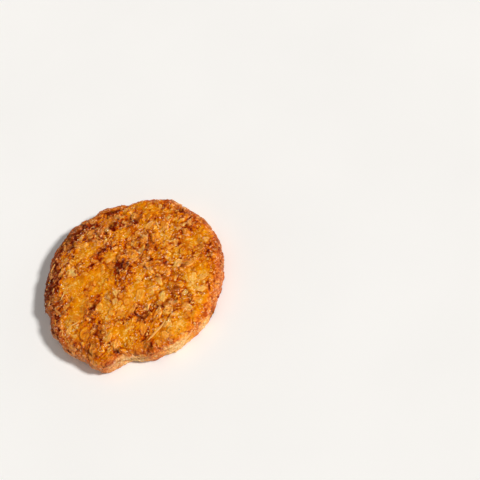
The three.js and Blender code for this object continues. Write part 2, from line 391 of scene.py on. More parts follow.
# marked flakes: (pixel), length and width in mm, turn in degrees, height, tint, how much shows through the glaze
MARKED_FLAKES = [
    ((155, 266), 5.4, 4.2, 20, 0.26, 0.32, 0.6), ((159, 280), 4.4, 2.2, 126, 0.24, 0.86, 0.7), ((151, 271), 5.4, 1.2, 146, 0.20, 0.85, 0.7), ((178, 264), 4.6, 2.8, 72, 0.26, 0.92, 0.8),
    ((190, 262), 4.0, 3.2, 40, 0.24, 0.80, 0.7), ((203, 275), 3.6, 2.4, 45, 0.22, 0.88, 0.7), ((200, 288), 3.8, 2.3, 14, 0.24, 0.95, 0.8), ((187, 307), 3.8, 2.6, 159, 0.24, 0.88, 0.7),
    ((190, 313), 4.0, 2.6, 20, 0.22, 0.50, 0.6), ((169, 309), 3.6, 2.2, 71, 0.22, 0.85, 0.7), ((163, 297), 4.2, 2.2, 101, 0.26, 0.78, 0.9), ((157, 314), 4.6, 2.2, 76, 0.22, 0.74, 0.7),
    ((143, 328), 4.6, 3.2, 110, 0.24, 0.72, 0.6), ((140, 295), 4.2, 2.8, 99, 0.20, 0.78, 0.5), ((128, 302), 3.8, 3.0, 40, 0.20, 0.78, 0.5), ((133, 309), 3.8, 1.8, 76, 0.22, 0.78, 0.7),
    ((122, 310), 3.0, 1.9, 68, 0.20, 0.75, 0.6), ((116, 293), 3.4, 2.4, 132, 0.26, 1.00, 0.9), ((115, 302), 2.3, 1.9, 90, 0.22, 1.05, 0.8), ((99, 310), 4.8, 2.8, 65, 0.20, 0.72, 0.5),
    ((101, 274), 3.6, 2.0, 41, 0.18, 0.80, 0.4), ((72, 273), 5.0, 3.6, 124, 0.26, 0.90, 0.9), ((83, 246), 3.8, 2.6, 12, 0.22, 0.75, 0.8), ((91, 233), 3.2, 2.6, 49, 0.22, 0.70, 0.8),
    ((118, 216), 3.4, 2.4, 168, 0.20, 0.80, 0.7), ((134, 215), 2.8, 2.1, 99, 0.20, 0.76, 0.7), ((149, 225), 3.4, 2.2, 68, 0.24, 0.88, 0.7), ((164, 225), 4.8, 3.8, 39, 0.24, 0.70, 0.7),
    ((168, 233), 3.2, 2.6, 35, 0.22, 0.55, 0.5), ((144, 239), 3.8, 1.8, 130, 0.22, 0.84, 0.7), ((137, 233), 2.8, 1.8, 39, 0.20, 0.78, 0.6), ((171, 246), 3.8, 2.2, 47, 0.22, 0.75, 0.7),
    ((136, 259), 3.8, 2.8, 157, 0.24, 0.76, 0.7), ((146, 260), 3.4, 2.2, 151, 0.20, 0.70, 0.6), ((142, 252), 4.2, 1.3, 74, 0.20, 0.80, 0.7), ((109, 339), 4.0, 2.2, 68, 0.24, 0.76, 0.7),
    ((116, 342), 4.2, 1.9, 80, 0.22, 0.78, 0.6), ((92, 348), 3.6, 2.4, 100, 0.24, 0.70, 0.7), ((105, 327), 4.8, 2.1, 84, 0.22, 0.72, 0.6), ((109, 357), 3.6, 1.8, 60, 0.24, 0.66, 0.7),
    ((126, 352), 3.4, 1.5, 175, 0.20, 0.85, 0.7), ((68, 329), 3.6, 1.9, 54, 0.22, 1.00, 0.8), ((74, 335), 2.6, 1.8, 161, 0.22, 1.00, 0.8), ((185, 292), 2.4, 1.8, 170, 0.22, 1.10, 0.9),
    ((169, 320), 2.0, 1.8, 151, 0.22, 1.15, 0.9), ((108, 231), 2.6, 1.6, 165, 0.24, 0.95, 0.9), ((111, 313), 2.6, 1.6, 120, 0.20, 0.84, 0.7), ((194, 275), 2.6, 1.7, 102, 0.20, 0.88, 0.8),
    ((153, 292), 1.9, 1.7, 31, 0.22, 1.00, 0.8), ((131, 327), 2.2, 1.4, 0, 0.20, 0.74, 0.7), ((124, 221), 2.4, 1.5, 166, 0.20, 0.84, 0.8), ((65, 307), 2.2, 1.7, 82, 0.22, 0.80, 0.8),
    ((61, 286), 2.2, 1.6, 16, 0.24, 0.50, 0.7), ((68, 246), 3.4, 2.2, 170, 0.24, 0.45, 0.9), ((59, 264), 3.6, 2.4, 60, 0.26, 0.45, 0.9), ((102, 227), 5.0, 2.2, 75, 0.26, 0.15, 0.8),
    ((151, 247), 3.8, 2.8, 60, 0.20, 0.22, 0.6), ((94, 340), 4.6, 2.2, 150, 0.24, 0.20, 0.7), ((197, 298), 3.0, 2.6, 0, 0.24, 0.72, 0.7), ((156, 238), 4.2, 2.8, 130, 0.22, 0.52, 0.6),
]
for (px, py), length, width, turn, height, tint, show in MARKED_FLAKES:
    x, y = at_px(px, py)
    press_flake(top, rng, x, y, length / 2, width / 2, math.radians(turn), 1.4 * height, tint,
                (rng.normal() * 0.05, rng.normal() * 0.05), soft=0.22, rim_brown=0.2, show=0.85 * show, rim_highlight=0.30, crease=0.08, rag=0.26)

# beside the dark spot the oats lie deeper, under the crust
x, y = at_px(127, 264.5)
deep = np.exp(-((((GX - x) / 2.6) ** 2 + ((GY - y) / 2.0) ** 2) ** 2))
top.oat *= 1.0 - 0.9 * deep
top.h += 0.75 * deep * (blur(top.h, 8) - top.h)

# the calm gold has few dark marks of its own, and the side towards +X fewer than the rest
right_side = smooth(3, 15, 0.866 * GX + 0.5 * GY)
top.brown -= (0.6 * calm + 0.3 * right_side * (1 - calm)) * np.clip(top.brown - blur(top.brown, 14), 0, None)

# toasted blotches, and golden ones below zero: (pixel), reach along and across in mm, turn in degrees, strength
MARKED_BROWN = [
    ((147, 344), 3.8, 2.0, 111, 0.44), ((139, 313), 3.2, 2.2, 172, 0.34), ((119, 270), 3.0, 1.4, 90, 0.40), ((119.5, 267), 2.1, 1.4, 30, 0.46), ((112, 214), 3.0, 2.4, 41, 0.34),
    ((90, 353), 3.5, 1.1, 141, 0.44), ((135, 223), 2.2, 1.5, 80, 0.38), ((91, 268), 2.6, 1.3, 47, 0.42), ((101, 252), 2.4, 1.6, 60, 0.34), ((149, 244), 2.8, 1.0, 84, 0.32),
    ((164, 261), 2.5, 1.3, 114, 0.40), ((75, 243), 2.0, 1.3, 102, 0.32), ((111, 298), 3.6, 0.8, 95, 0.26), ((116, 351), 1.7, 1.4, 148, 0.50), ((100, 341), 2.5, 0.8, 90, 0.38),
    ((99, 296), 1.7, 1.0, 75, 0.30), ((93, 307), 1.6, 1.0, 72, 0.44), ((112, 228), 1.7, 1.1, 135, 0.44), ((99, 325), 2.3, 0.8, 82, 0.34), ((109, 344), 2.6, 0.8, 41, 0.32),
    ((112, 249), 1.6, 0.9, 127, 0.30), ((141, 266), 1.8, 0.7, 92, 0.26), ((139, 306), 1.4, 1.0, 146, 0.34), ((134, 249), 1.6, 0.7, 132, 0.26), ((84, 239), 1.3, 0.9, 39, 0.28),
    ((163, 305), 1.6, 0.6, 0, 0.14), ((158, 306), 2.6, 1.4, 30, -0.14), ((176, 305), 2.4, 1.2, 40, -0.10), ((179, 277), 1.8, 1.3, 120, -0.16), ((172, 296), 1.4, 1.2, 110, -0.12), ((150, 280), 2.0, 1.6, 20, -0.10), ((122, 287), 1.4, 1.0, 100, -0.12), ((130, 336), 1.6, 0.7, 56, 0.24), ((191, 301), 1.4, 0.8, 93, 0.32), ((187, 316), 1.7, 0.6, 127, 0.28), ((155, 247), 1.6, 0.6, 124, 0.32),
    # the dark blotches at (204, 325), (206, 318) and (210, 310) are painted shadow along the right rim, not toasting
    ((133, 239), 3.0, 2.0, 20, -0.16), ((85, 342), 2.4, 1.6, 40, -0.16), ((204, 325), 1.6, 0.7, 40, 0.20), ((61, 271), 2.0, 1.3, 80, 0.14), ((65, 289), 2.2, 1.4, 75, 0.14), ((62, 256), 1.6, 1.2, 60, 0.12), ((117, 257), 2.0, 1.2, 20, -0.14), ((135, 252), 2.0, 1.2, 30, 0.14), ((148, 321), 2.0, 1.2, 40, 0.14), ((101, 231), 1.8, 1.2, 20, 0.14), ((175, 272), 1.8, 1.4, 30, -0.14), ((153, 340), 1.8, 1.2, 40, -0.14), ((206, 318), 2.2, 1.0, 60, 0.14), ((108, 345), 2.2, 1.2, 30, 0.12), ((209, 290), 3.0, 1.2, 85, -0.10), ((172, 346), 2.0, 0.8, 30, -0.10), ((136, 273), 2.2, 1.6, 0, 0.14), ((177, 273), 1.8, 1.4, 30, -0.12), ((77, 267), 1.8, 1.4, 60, -0.12), ((69, 301), 1.8, 1.6, 80, -0.14), ((116, 320), 2.0, 1.6, 0, -0.12), ((131, 334), 2.6, 1.6, 40, 0.12), ((116, 338), 1.6, 1.2, 60, 0.12), ((89, 317), 2.6, 2.0, 60, -0.10), ((91, 220), 2.0, 1.2, 40, 0.16), ((210, 310), 2.6, 1.0, 70, 0.14), ((120, 214), 3.6, 2.0, 10, -0.14), ((120, 299), 1.1, 0.8, 168, 0.26), ((72, 344), 1.7, 0.6, 128, 0.26), ((92, 334), 1.0, 0.8, 141, 0.36), ((154, 265), 1.0, 0.7, 54, 0.22), ((134, 350), 1.3, 0.6, 148, 0.26),
    ((116, 283), 1.4, 0.5, 65, 0.30), ((100, 226), 4.2, 2.4, 15, 0.30), ((150, 246), 3.2, 2.2, 10, 0.14), ((192, 299), 3.6, 2.6, 20, 0.12), ((127, 284), 3.0, 2.2, 0, 0.12),
    ((86, 229), 6.0, 1.6, 32, 0.30), ((112, 258), 3.2, 2.4, 176, -0.12), ((89, 256), 3.4, 1.4, 27, -0.10), ((77, 304), 2.7, 1.1, 43, -0.10), ((179, 321), 2.6, 1.0, 50, -0.12),
    ((123, 332), 2.3, 0.8, 162, -0.10), ((206, 302), 4.1, 1.5, 70, -0.14), ((191, 249), 2.4, 1.4, 91, -0.10), ((201, 258), 2.5, 1.2, 109, -0.12), ((105, 299), 1.9, 0.8, 91, -0.10),
]
for (px, py), a, b, turn, strength in MARKED_BROWN:
    x, y = at_px(px, py)
    press_blotch(top, rng, x, y, a, b, math.radians(turn), strength)
toasted = np.clip(top.brown - 0.42, 0, None)
top.brown += toasted * (0.30 * n_small + 0.22 * n_fine)

# small dark hollows and slits
MARKED_PITS = [
    ((118.5, 265.5), 1.7, 0.7, 25, 0.55, 0.65), ((121.5, 267), 0.5, 0.5, 20, 0.55, 0.6), ((118.5, 272.5), 0.4, 1.2, 25, 0.45, 0.5), ((93, 306), 0.7, 0.55, 30, 0.45, 0.5), ((88, 352), 1.3, 0.35, 135, 0.55, 0.5),
    ((115, 350), 1.4, 0.4, 150, 0.55, 0.5), ((153, 260), 0.42, 0.28, 20, 0.4, 0.6), ((172, 264.5), 0.45, 0.28, 0, 0.45, 0.7), ((184, 265.5), 0.8, 0.22, 10, 0.4, 0.6),
    ((73, 256.5), 0.45, 0.4, 0, 0.45, 0.8), ((109.5, 226), 0.9, 0.5, 60, 0.55, 0.6), ((113, 229.6), 0.6, 0.45, 0, 0.5, 0.6), ((105.5, 233.5), 0.6, 0.4, 30, 0.4, 0.5),
    ((149, 345), 0.9, 0.6, 100, 0.4, 0.4), ((145, 316), 0.8, 0.5, 30, 0.4, 0.4), ((208, 286), 1.6, 0.22, 95, 0.4, 0.45), ((91.5, 266), 0.7, 0.5, 30, 0.35, 0.4),
    ((100, 252.5), 0.7, 0.4, 60, 0.35, 0.45), ((57, 328), 0.9, 0.4, 100, 0.5, 0.6), ((71, 350), 1.5, 0.5, 130, 0.5, 0.55), ((135, 222), 0.9, 0.4, 80, 0.4, 0.4), ((166, 262), 0.6, 0.4, 30, 0.3, 0.4), ((190, 300), 0.9, 0.3, 60, 0.35, 0.4),
]
for (px, py), a, b, turn, depth, strength in MARKED_PITS:
    x, y = at_px(px, py)
    press_pit(top, rng, x, y, a, b, math.radians(turn), depth, strength)
for _ in range(170):
    rad, t = 32.5 * math.sqrt(rng.uniform()), rng.uniform(0, TAU)
    x, y = rad * math.cos(t), rad * math.sin(t)
    if rng.uniform() > field_at(rough_zone, x, y):
        continue
    press_pit(top, rng, x, y, rng.uniform(0.25, 0.8), rng.uniform(0.14, 0.34), rng.uniform(0, TAU), rng.uniform(0.12, 0.36), rng.uniform(0.1, 0.4))

# two flakes lifted along the far edge, each with a dark slit behind it: ends of the flake, width and rise in mm, slit end points
for f0, f1, width, rise, s0, s1 in [((104, 211.5), (124, 205.8), 1.9, 0.5, (104.5, 214.4), (121.5, 210.4)), ((70, 235), (82, 225.2), 1.7, 0.5, (73.2, 236.6), (83.4, 229.8))]:
    turn, length = px_dir(*f0, *f1)
    x, y = at_px((f0[0] + f1[0]) / 2, (f0[1] + f1[1]) / 2, 7.6)
    press_flake(top, rng, x, y, length / 2, width / 2, turn, rise, 0.25, (0.0, 0.0), soft=0.14, rim_brown=0.5, show=0.7, rag=0.1)
    turn, length = px_dir(*s0, *s1)
    x, y = at_px((s0[0] + s1[0]) / 2, (s0[1] + s1[1]) / 2, 7.8)
    # the slit is painted dark brown inside: painted shadow in the gap
    press_pit(top, rng, x, y, length / 2, 0.42, turn, 0.75, 1.0)

# a lightly blistered crust: fine wrinkles everywhere
top.h += 0.026 * band(shape, 10, seed=7) + 0.008 * band(shape, 4, seed=8)

# the edge zone of the top is browner, most of all towards the left, the side away from the key light: partly toasting,
# partly painted shade
left = 0.5 + 0.5 * np.cos(GT - math.radians(175))
rim_zone = smooth(27.0, 33.0, GN)
burn_and_shade = smooth(25.8, 31.2, GN + 0.5 * n_mid) * (1 - 0.62 * smooth(30.6, 33.0, GN)) * np.exp(-(((np.degrees(GT) - 179 + 180) % 360 - 180) / 34) ** 2)
low_left = np.exp(-(((np.degrees(GT) - 240 + 180) % 360 - 180) / 26) ** 2)
top.brown += rim_zone * (0.07 + 0.03 * left ** 2 + 0.02 * low_left) + 0.54 * burn_and_shade * (1.0 + 0.25 * n_small)
# the second term, a narrow band at 327 degrees on the right rim, is painted shadow
top.brown += 0.11 * np.exp(-(((np.degrees(GT) - 295 + 180) % 360 - 180) / 7) ** 2) * smooth(26, 31, GN) + 0.12 * np.exp(-(((np.degrees(GT) - 327 + 180) % 360 - 180) / 4) ** 2) * smooth(30.6, 32.6, GN)
top.oat *= 1.0 - 0.7 * burn_and_shade
top.tint -= 0.5 * burn_and_shade
right_low = np.exp(-(((np.degrees(GT) - 318 + 180) % 360 - 180) / 42) ** 2)
top.brown -= 0.06 * right_low * smooth(16, 30, GN) + 0.05 * np.exp(-(((np.degrees(GT) - 308 + 180) % 360 - 180) / 15) ** 2) * smooth(27, 32, GN)

# painted shade: hollows are painted darker and raised crust lighter, from how far each cell lies below its blurred
# surroundings
hollow_shade = blur(top.h, 9) - top.h
cav_wide = blur(top.h, 28) - blur(top.h, 9)
top_hollow_shade = np.clip(0.5 + (2.0 * hollow_shade + 0.6 * cav_wide) * (1 - 0.6 * calm), 0, 1)

# ------------------------------------------------------------------ the wall sheet: distance round the edge, distance down from the shoulder
def edge_profile(count):
    """The section from the shoulder over the rounded edge, down the wall and round to the base, evenly spaced."""
    foot_r, wall_top = RADIUS - WALL_LEAN, SHOULDER_Z - UPPER_DROP
    pts = []
    for i in range(60):
        a = (1 - i / 60) * math.pi / 2
        pts.append((RADIUS - UPPER_OUT * (1 - math.cos(a)), wall_top + UPPER_DROP * math.sin(a)))
    for i in range(30):
        t = 1 - i / 30
        pts.append((foot_r + WALL_LEAN * t, FOOT_Z + (wall_top - FOOT_Z) * t))
    for i in range(41):
        a = (1 - i / 40) * math.pi / 2
        pts.append((foot_r - LOWER_IN * (1 - math.sin(a)), FOOT_Z * (1 - math.cos(a))))
    pts = np.array(pts)
    s = np.concatenate([[0], np.cumsum(np.hypot(*np.diff(pts, axis=0).T))])
    q = np.linspace(0, s[-1], count)
    r, z = np.interp(q, s, pts[:, 0]), np.interp(q, s, pts[:, 1])
    dr, dz = np.gradient(r, q), np.gradient(z, q)
    n = np.hypot(dr, dz)
    return q, r, z, -dz / n, dr / n  # the outward normal is (-dz, dr) going down


PQ, PR, PZ, PNR, PNZ = edge_profile(120)
WALL_LEN = PQ[-1]
GIRTH = TAU * RADIUS
NW = 2112
wx = (np.arange(NW) + 0.5) * GIRTH / NW
wy = np.linspace(0, WALL_LEN, 112)
wall = Surface(wx, wy, wrap=GIRTH)
wshape = (len(wy), NW)
w_theta = wx / RADIUS
w_z = np.interp(wy, PQ, PZ)
pad = (wshape[0] * 3, NW)
theta_g, z_g = np.meshgrid(w_theta, w_z)
wave = np.sin(19 * theta_g + 1.7 * np.sin(0.8 * z_g)) + 0.8 * np.sin(31 * theta_g - 0.9 * z_g + 1.3) + 0.6 * np.sin(11 * theta_g + 1.1 * z_g)
wall.h += 0.32 / 2.4 * wave * np.sin(math.pi * np.clip(z_g / SHOULDER_Z, 0, 1))
wn = [band(pad, wy_, wx_, seed=s_)[: wshape[0]] for wy_, wx_, s_ in ((30, 60, 11), (14, 26, 12), (8, 12, 13), (5, 6, 14), (10, 70, 15))]
w_crest = [np.exp(-(band(pad, a_, b_, seed=s_)[: wshape[0]] / 0.28) ** 2) for a_, b_, s_ in ((22, 20, 16), (12, 11, 17), (7, 6, 18))]
wall.h += 0.18 * wn[0] + 0.10 * wn[1] + 0.07 * wn[2] + 0.03 * wn[3] + 0.10 * w_crest[0] + 0.07 * w_crest[1] + 0.05 * w_crest[2]
# layered cracks along the wall
wall.h -= 0.24 * smooth(1.2, 2.4, wn[4]) * smooth(0.5, 3.0, z_g) * smooth(8.4, 6.0, z_g)
# the wall's crests are painted lighter: painted highlight
wall.brown += 0.52 + 0.10 * wn[0] + 0.08 * wn[1] + 0.05 * wn[2] - 0.10 * w_crest[0] - 0.07 * w_crest[1] - 0.05 * w_crest[2]
wrng = np.random.default_rng(991)
for _ in range(190):
    size = wrng.uniform(0.6, 2.1)
    press_flake(wall, wrng, wrng.uniform(0, GIRTH), wrng.uniform(0.5, WALL_LEN - 1.5), size, size * wrng.uniform(0.4, 0.75), wrng.normal() * 0.5,
                wrng.uniform(0.07, 0.2), wrng.uniform(0.1, 0.8), (wrng.normal() * 0.05, wrng.normal() * 0.08), soft=0.18, rim_brown=wrng.uniform(0.1, 0.4),
                show=wrng.uniform(0.2, 0.7), rag=0.25)
for _ in range(80):
    size = wrng.uniform(0.7, 1.8)
    press_flake(wall, wrng, wrng.uniform(0, GIRTH), wrng.uniform(0.6, 4.6), size, size * wrng.uniform(0.45, 0.8), wrng.uniform(0, TAU),
                wrng.uniform(0.16, 0.42), wrng.uniform(0.1, 0.8), (wrng.normal() * 0.08, wrng.normal() * 0.10), soft=0.14, rim_brown=wrng.uniform(0.1, 0.35),
                show=wrng.uniform(0.2, 0.6), rag=0.25)
for _ in range(90):
    press_pit(wall, wrng, wrng.uniform(0, GIRTH), wrng.uniform(1.5, WALL_LEN - 1.0), wrng.uniform(0.25, 1.1), wrng.uniform(0.15, 0.4), wrng.normal() * 0.4,
              wrng.uniform(0.12, 0.36), wrng.uniform(0.05, 0.3))
# dark slits along the left edge: (pixel), height, length and width in mm
slit_rng = np.random.default_rng(515)
for px, py, z, a, b in ((49.6, 306.5, 6.4, 0.9, 0.32), (52.6, 332.2, 6.0, 0.9, 0.36), (57.2, 326.5, 7.0, 0.7, 0.3), (70, 350, 6.3, 0.9, 0.3), (53.6, 284, 7.0, 0.8, 0.3)):
    x, y = at_px(px, py, z)
    press_pit(wall, slit_rng, math.atan2(y, x) % TAU * RADIUS, float(np.interp(-z, -PZ, PQ)), a, b, slit_rng.normal() * 0.25, 0.5, 0.55)
w_deg = np.degrees(theta_g) % 360
w_left = 0.5 + 0.5 * np.cos(theta_g - math.radians(172))
# the left wall is darker as well: partly toasting, partly painted shade
w_burn_and_shade = np.exp(-(((w_deg - 179 + 180) % 360 - 180) / 36) ** 2)
wall.brown += 0.19 * w_burn_and_shade
wall.oat *= 1.0 - 0.5 * w_burn_and_shade
wall.tint -= 0.35 * w_burn_and_shade
# lighter towards 243 degrees, a side away from the key light: painted light
wall.brown -= 0.12 * np.exp(-(((w_deg - 243 + 180) % 360 - 180) / 22) ** 2)
# the 336 degree band below the right rim is painted shadow
wall.brown += 0.30 * np.exp(-(((w_deg - 336 + 180) % 360 - 180) / 6) ** 2) * smooth(6.0, 3.6, z_g) + 0.14 * np.exp(-(((w_deg - 294 + 180) % 360 - 180) / 6) ** 2)
wall.brown += 0.09 * np.exp(-(((w_deg - 70 + 180) % 360 - 180) / 70) ** 4) + 0.04 * np.exp(-(((w_deg - 263 + 180) % 360 - 180) / 6) ** 2)
# painted shadow: a dark line under the right rim at 328 degrees
wall.brown += 0.22 * np.exp(-(((w_deg - 328 + 180) % 360 - 180) / 6) ** 2) * np.exp(-(((z_g - 6.8) / 0.8) ** 2))
pale_dir = np.zeros(wshape)
for at, half, much, high in ((276.5, 10.5, 1.0, 6.7), (266, 4, 0.35, 5.0), (290, 6, 0.15, 6.9), (306.5, 8.5, 1.1, 6.9), (318, 7, 0.10, 6.9), (327.5, 5, 0.95, 6.0)):
    pale_dir = np.maximum(pale_dir, much * np.exp(-np.abs(((w_deg - at + 180) % 360 - 180) / half) ** 2.6) * smooth(high, high - 1.6, z_g + 0.35 * wn[1]))
wall.brown -= 0.12 * np.exp(-np.abs(((w_deg - 309 + 180) % 360 - 180) / 24) ** 4)
pale_back = 0.35 * np.exp(-(((w_deg - 60 + 180) % 360 - 180) / 30) ** 2) + 0.2 * np.exp(-(((w_deg - 215 + 180) % 360 - 180) / 12) ** 2)
pale_back *= smooth(6.9, 5.3, z_g + 0.35 * wn[1])
wall.pale += np.clip((pale_dir + pale_back) * smooth(0.2, 1.0, z_g) * (0.80 + 0.20 * wn[1] + 0.12 * wn[0]), 0, 1)
wall.h *= 1.0 - 0.20 * wall.pale
crumbly = band(pad, 6, 7, seed=19)[: wshape[0]]
wall.h += wall.pale * (0.07 * crumbly - 0.22 * smooth(1.1, 2.2, band(pad, 7, 12, seed=20)[: wshape[0]]))
wall.brown -= 0.45 * wall.pale
wall.brown += 0.22 * smooth(2.0, 0.2, z_g)
# painted shade on the wall: the same hollow measure
wall_hollow = np.concatenate([wall.h[::-1], wall.h, wall.h[::-1]])
wall_hollow = (blur(wall_hollow, 9) - wall_hollow)[wshape[0]: 2 * wshape[0]]
wall_hollow_shade = np.clip(0.5 + 1.5 * wall_hollow, 0, 1)
wall_calm = np.full(wshape, 0.3)

# ------------------------------------------------------------------ the body mesh
N = 224            # cells across the top
RIM = 4 * N        # points round the shoulder
ROWS = 38          # rings from the shoulder to the base


def disc_map(n):
    """A square grid drawn evenly over the unit disc: radius and angle of each grid point."""
    g = np.linspace(-1, 1, n + 1)
    u, v = np.meshgrid(g, g, indexing="xy")
    big_u = np.abs(u) > np.abs(v)
    with np.errstate(divide="ignore", invalid="ignore"):
        r = np.where(big_u, u, v)
        phi = np.where(big_u, (math.pi / 4) * (v / u), math.pi / 2 - (math.pi / 4) * (u / v))
    phi = np.where(r == 0, 0.0, phi)
    phi = np.where(r < 0, phi + math.pi, phi)
    return np.abs(r), phi % TAU


NB = 112           # cells across the underside
BASE_R = 30.4
# the underside: shallow ripples and hollows left by the baking sheet, in mm above it
ripple = band(shape, 11, 34, seed=31)
ripple_fine = band(shape, 7, 16, seed=32)
sole_pit = smooth(1.5, 2.4, band(shape, 9, 16, seed=33))
# oat flakes pressed flat against the sheet, each creased along one side
srng = np.random.default_rng(707)
sole_face, sole_crease = np.zeros(shape), np.zeros(shape)
for _ in range(64):
    rad, t, turn, dark_side = 29.0 * math.sqrt(srng.uniform()), srng.uniform(0, TAU), srng.normal() * 0.6, srng.uniform(0, TAU)
    a = srng.uniform(1.3, 2.9)
    b = a * srng.uniform(0.5, 0.8)
    dx, dy = GX - rad * math.cos(t), GY - rad * math.sin(t)
    u, v = (dx * math.cos(turn) + dy * math.sin(turn)) / a, (dy * math.cos(turn) - dx * math.sin(turn)) / b
    d = np.hypot(u, v) * (1 + 0.10 * ripple_fine)
    sole_face = np.maximum(sole_face, 1 - smooth(0.72, 0.98, d))
    sole_crease = np.maximum(sole_crease, np.exp(-(((d - 1.08) / 0.20) ** 2)) * smooth(-0.2, 0.8, np.cos(np.arctan2(v, u) - dark_side)))
sole_h = 0.12 + 0.10 * ripple * (1 - 0.6 * sole_face) + 0.04 * ripple_fine - 0.06 * sole_face + 0.24 * sole_crease + 0.30 * sole_pit
sole_brown = 0.54 - 0.06 * ripple - 0.05 * ripple_fine + 0.05 * band(shape, 60, seed=34) + 0.08 * smooth(20, 31, GN) - 0.07 * sole_face + 0.26 * sole_crease + 0.24 * sole_pit


def edge_mix(q):
    """Shares of the top sheet and of the wall sheet at a distance down from the shoulder."""
    w = 1.0 - smooth(0.3, 3.6, q)
    return w, 1.0 - w, 1.0 / np.sqrt(w * w + (1 - w) ** 2)


def body_mesh():
    t_r, t_phi = disc_map(N)
    k = outline(t_phi)
    x = t_r * SHOULDER_R * k * np.cos(t_phi)
    y = t_r * SHOULDER_R * k * np.sin(t_phi)
    z = dome(t_r) + top.at(top.h, x, y)
    verts = [np.stack([x, y, z], -1).reshape(-1, 3)]
    att = {n: [top.at(f, x, y).ravel()] for n, f in (("brown", top.brown), ("oat", top.oat), ("tint", top.tint), ("pale", top.pale), ("hollow_shade", top_hollow_shade), ("calm", calm))}
    t_deg = np.degrees(t_phi) % 360
    att["wallness"] = [(0.5 * smooth(0.93, 1.0, t_r) * np.exp(-(((t_deg - 178 + 180) % 360 - 180) / 58) ** 4)).ravel()]
    ids = np.arange((N + 1) ** 2).reshape(N + 1, N + 1)
    quads = [np.stack([ids[:-1, :-1], ids[:-1, 1:], ids[1:, 1:], ids[1:, :-1]], -1).reshape(-1, 4)]
    # ring of grid points on the shoulder, in order of angle
    edge = np.zeros((N + 1, N + 1), bool)
    edge[0] = edge[-1] = True
    edge[:, 0] = edge[:, -1] = True
    rim_ids = ids[edge]
    rim_phi = t_phi[edge]
    order = np.argsort(rim_phi)
    rim_ids, rim_phi = rim_ids[order], rim_phi[order]

    q = np.linspace(0, WALL_LEN, ROWS + 1)[1:]
    pr, pz = np.interp(q, PQ, PR), np.interp(q, PQ, PZ)
    nr, nz = np.interp(q, PQ, PNR), np.interp(q, PQ, PNZ)
    phi = np.broadcast_to(rim_phi, (ROWS, RIM))
    kk = outline(phi)
    r0 = pr[:, None] * kk
    qq = np.broadcast_to(q[:, None], phi.shape)
    w_top, w_wall, keep = edge_mix(qq)
    x0, y0 = r0 * np.cos(phi), r0 * np.sin(phi)
    h_top = top.at(top.h, x0, y0)
    h_wall = wall.at(wall.h, phi * RADIUS, qq)
    fade = 1.0 - smooth(WALL_LEN - 2.2, WALL_LEN, qq)
    d = (w_top * h_top + w_wall * h_wall) * keep * fade
    rr = r0 + nr[:, None] * d
    zz = np.maximum(pz[:, None] + nz[:, None] * d, 0.0)
    verts.append(np.stack([rr * np.cos(phi), rr * np.sin(phi), zz], -1).reshape(-1, 3))
    for n, ft, fw in (("brown", top.brown, wall.brown), ("oat", top.oat, wall.oat), ("tint", top.tint, wall.tint), ("pale", top.pale, wall.pale), ("hollow_shade", top_hollow_shade, wall_hollow_shade), ("calm", calm, wall_calm)):
        att[n].append((w_top * top.at(ft, x0, y0) + w_wall * wall.at(fw, phi * RADIUS, qq)).ravel())
    deg = np.degrees(phi) % 360
    flour = 0.64 + 0.36 * np.exp(-(((deg - 236 + 180) % 360 - 180) / 30) ** 2) - 0.45 * np.exp(-np.abs(((deg - 318 + 180) % 360 - 180) / 30) ** 4)
    att["wallness"].append(np.maximum(smooth(1.0, 4.4, qq) * flour, 0.5 * np.exp(-(((deg - 178 + 180) % 360 - 180) / 58) ** 4)).ravel())
    side = (N + 1) ** 2 + np.arange(ROWS * RIM).reshape(ROWS, RIM)
    rings = np.vstack([rim_ids[None], side])
    nxt = np.roll(rings, -1, axis=1)
    quads.append(np.stack([rings[:-1], rings[1:], nxt[1:], nxt[:-1]], -1).reshape(-1, 4))

    # underside: a coarser grid, rippled where the dough lay on the sheet
    b_r, b_phi = disc_map(NB)
    kb = outline(b_phi)
    bx, by = b_r * BASE_R * kb * np.cos(b_phi), b_r * BASE_R * kb * np.sin(b_phi)
    zb = np.clip(top.at(sole_h, bx, by), 0, 0.6) * (1 - smooth(0.9, 1.0, b_r))
    first = sum(len(v) for v in verts)
    verts.append(np.stack([bx, by, zb], -1).reshape(-1, 3))
    bids = first + np.arange((NB + 1) ** 2).reshape(NB + 1, NB + 1)
    quads.append(np.stack([bids[:-1, :-1], bids[1:, :-1], bids[1:, 1:], bids[:-1, 1:]], -1).reshape(-1, 4))
    b_edge = np.zeros((NB + 1, NB + 1), bool)
    b_edge[0] = b_edge[-1] = True
    b_edge[:, 0] = b_edge[:, -1] = True
    new = bids[b_edge][np.argsort(b_phi[b_edge])]
    last = side[-1]
    a0, a1, a2 = last[0::2], last[1::2], np.roll(last[0::2], -1)
    b1 = np.roll(new, -1)
    tris = [np.stack([a0, new, a1], -1), np.stack([a1, new, b1], -1), np.stack([a1, b1, a2], -1)]
    for n in att:
        att[n].append(np.zeros(bx.size))
    sole = top.at(sole_brown, bx, by).ravel()
    v = np.vstack(verts)
    v[:, :2] += AXIS
    att = {n: np.concatenate(a) for n, a in att.items()}
    # underside: toasted brown
    n_up = (N + 1) ** 2 + ROWS * RIM
    att["under"] = np.concatenate([np.zeros(n_up), np.ones(len(v) - n_up)])
    last = slice((N + 1) ** 2 + (ROWS - 5) * RIM, n_up)
    att["under"][last] = np.repeat(np.linspace(0.1, 0.9, 5), RIM)
    under_slice = slice(n_up, len(v))
    att["brown"][under_slice] = sole
    att["hollow_shade"][under_slice] = 0.5
    att["tint"][under_slice] = 0.5
    att["wallness"][under_slice] = 1.0
    return v, np.vstack(quads), np.vstack(tris), att


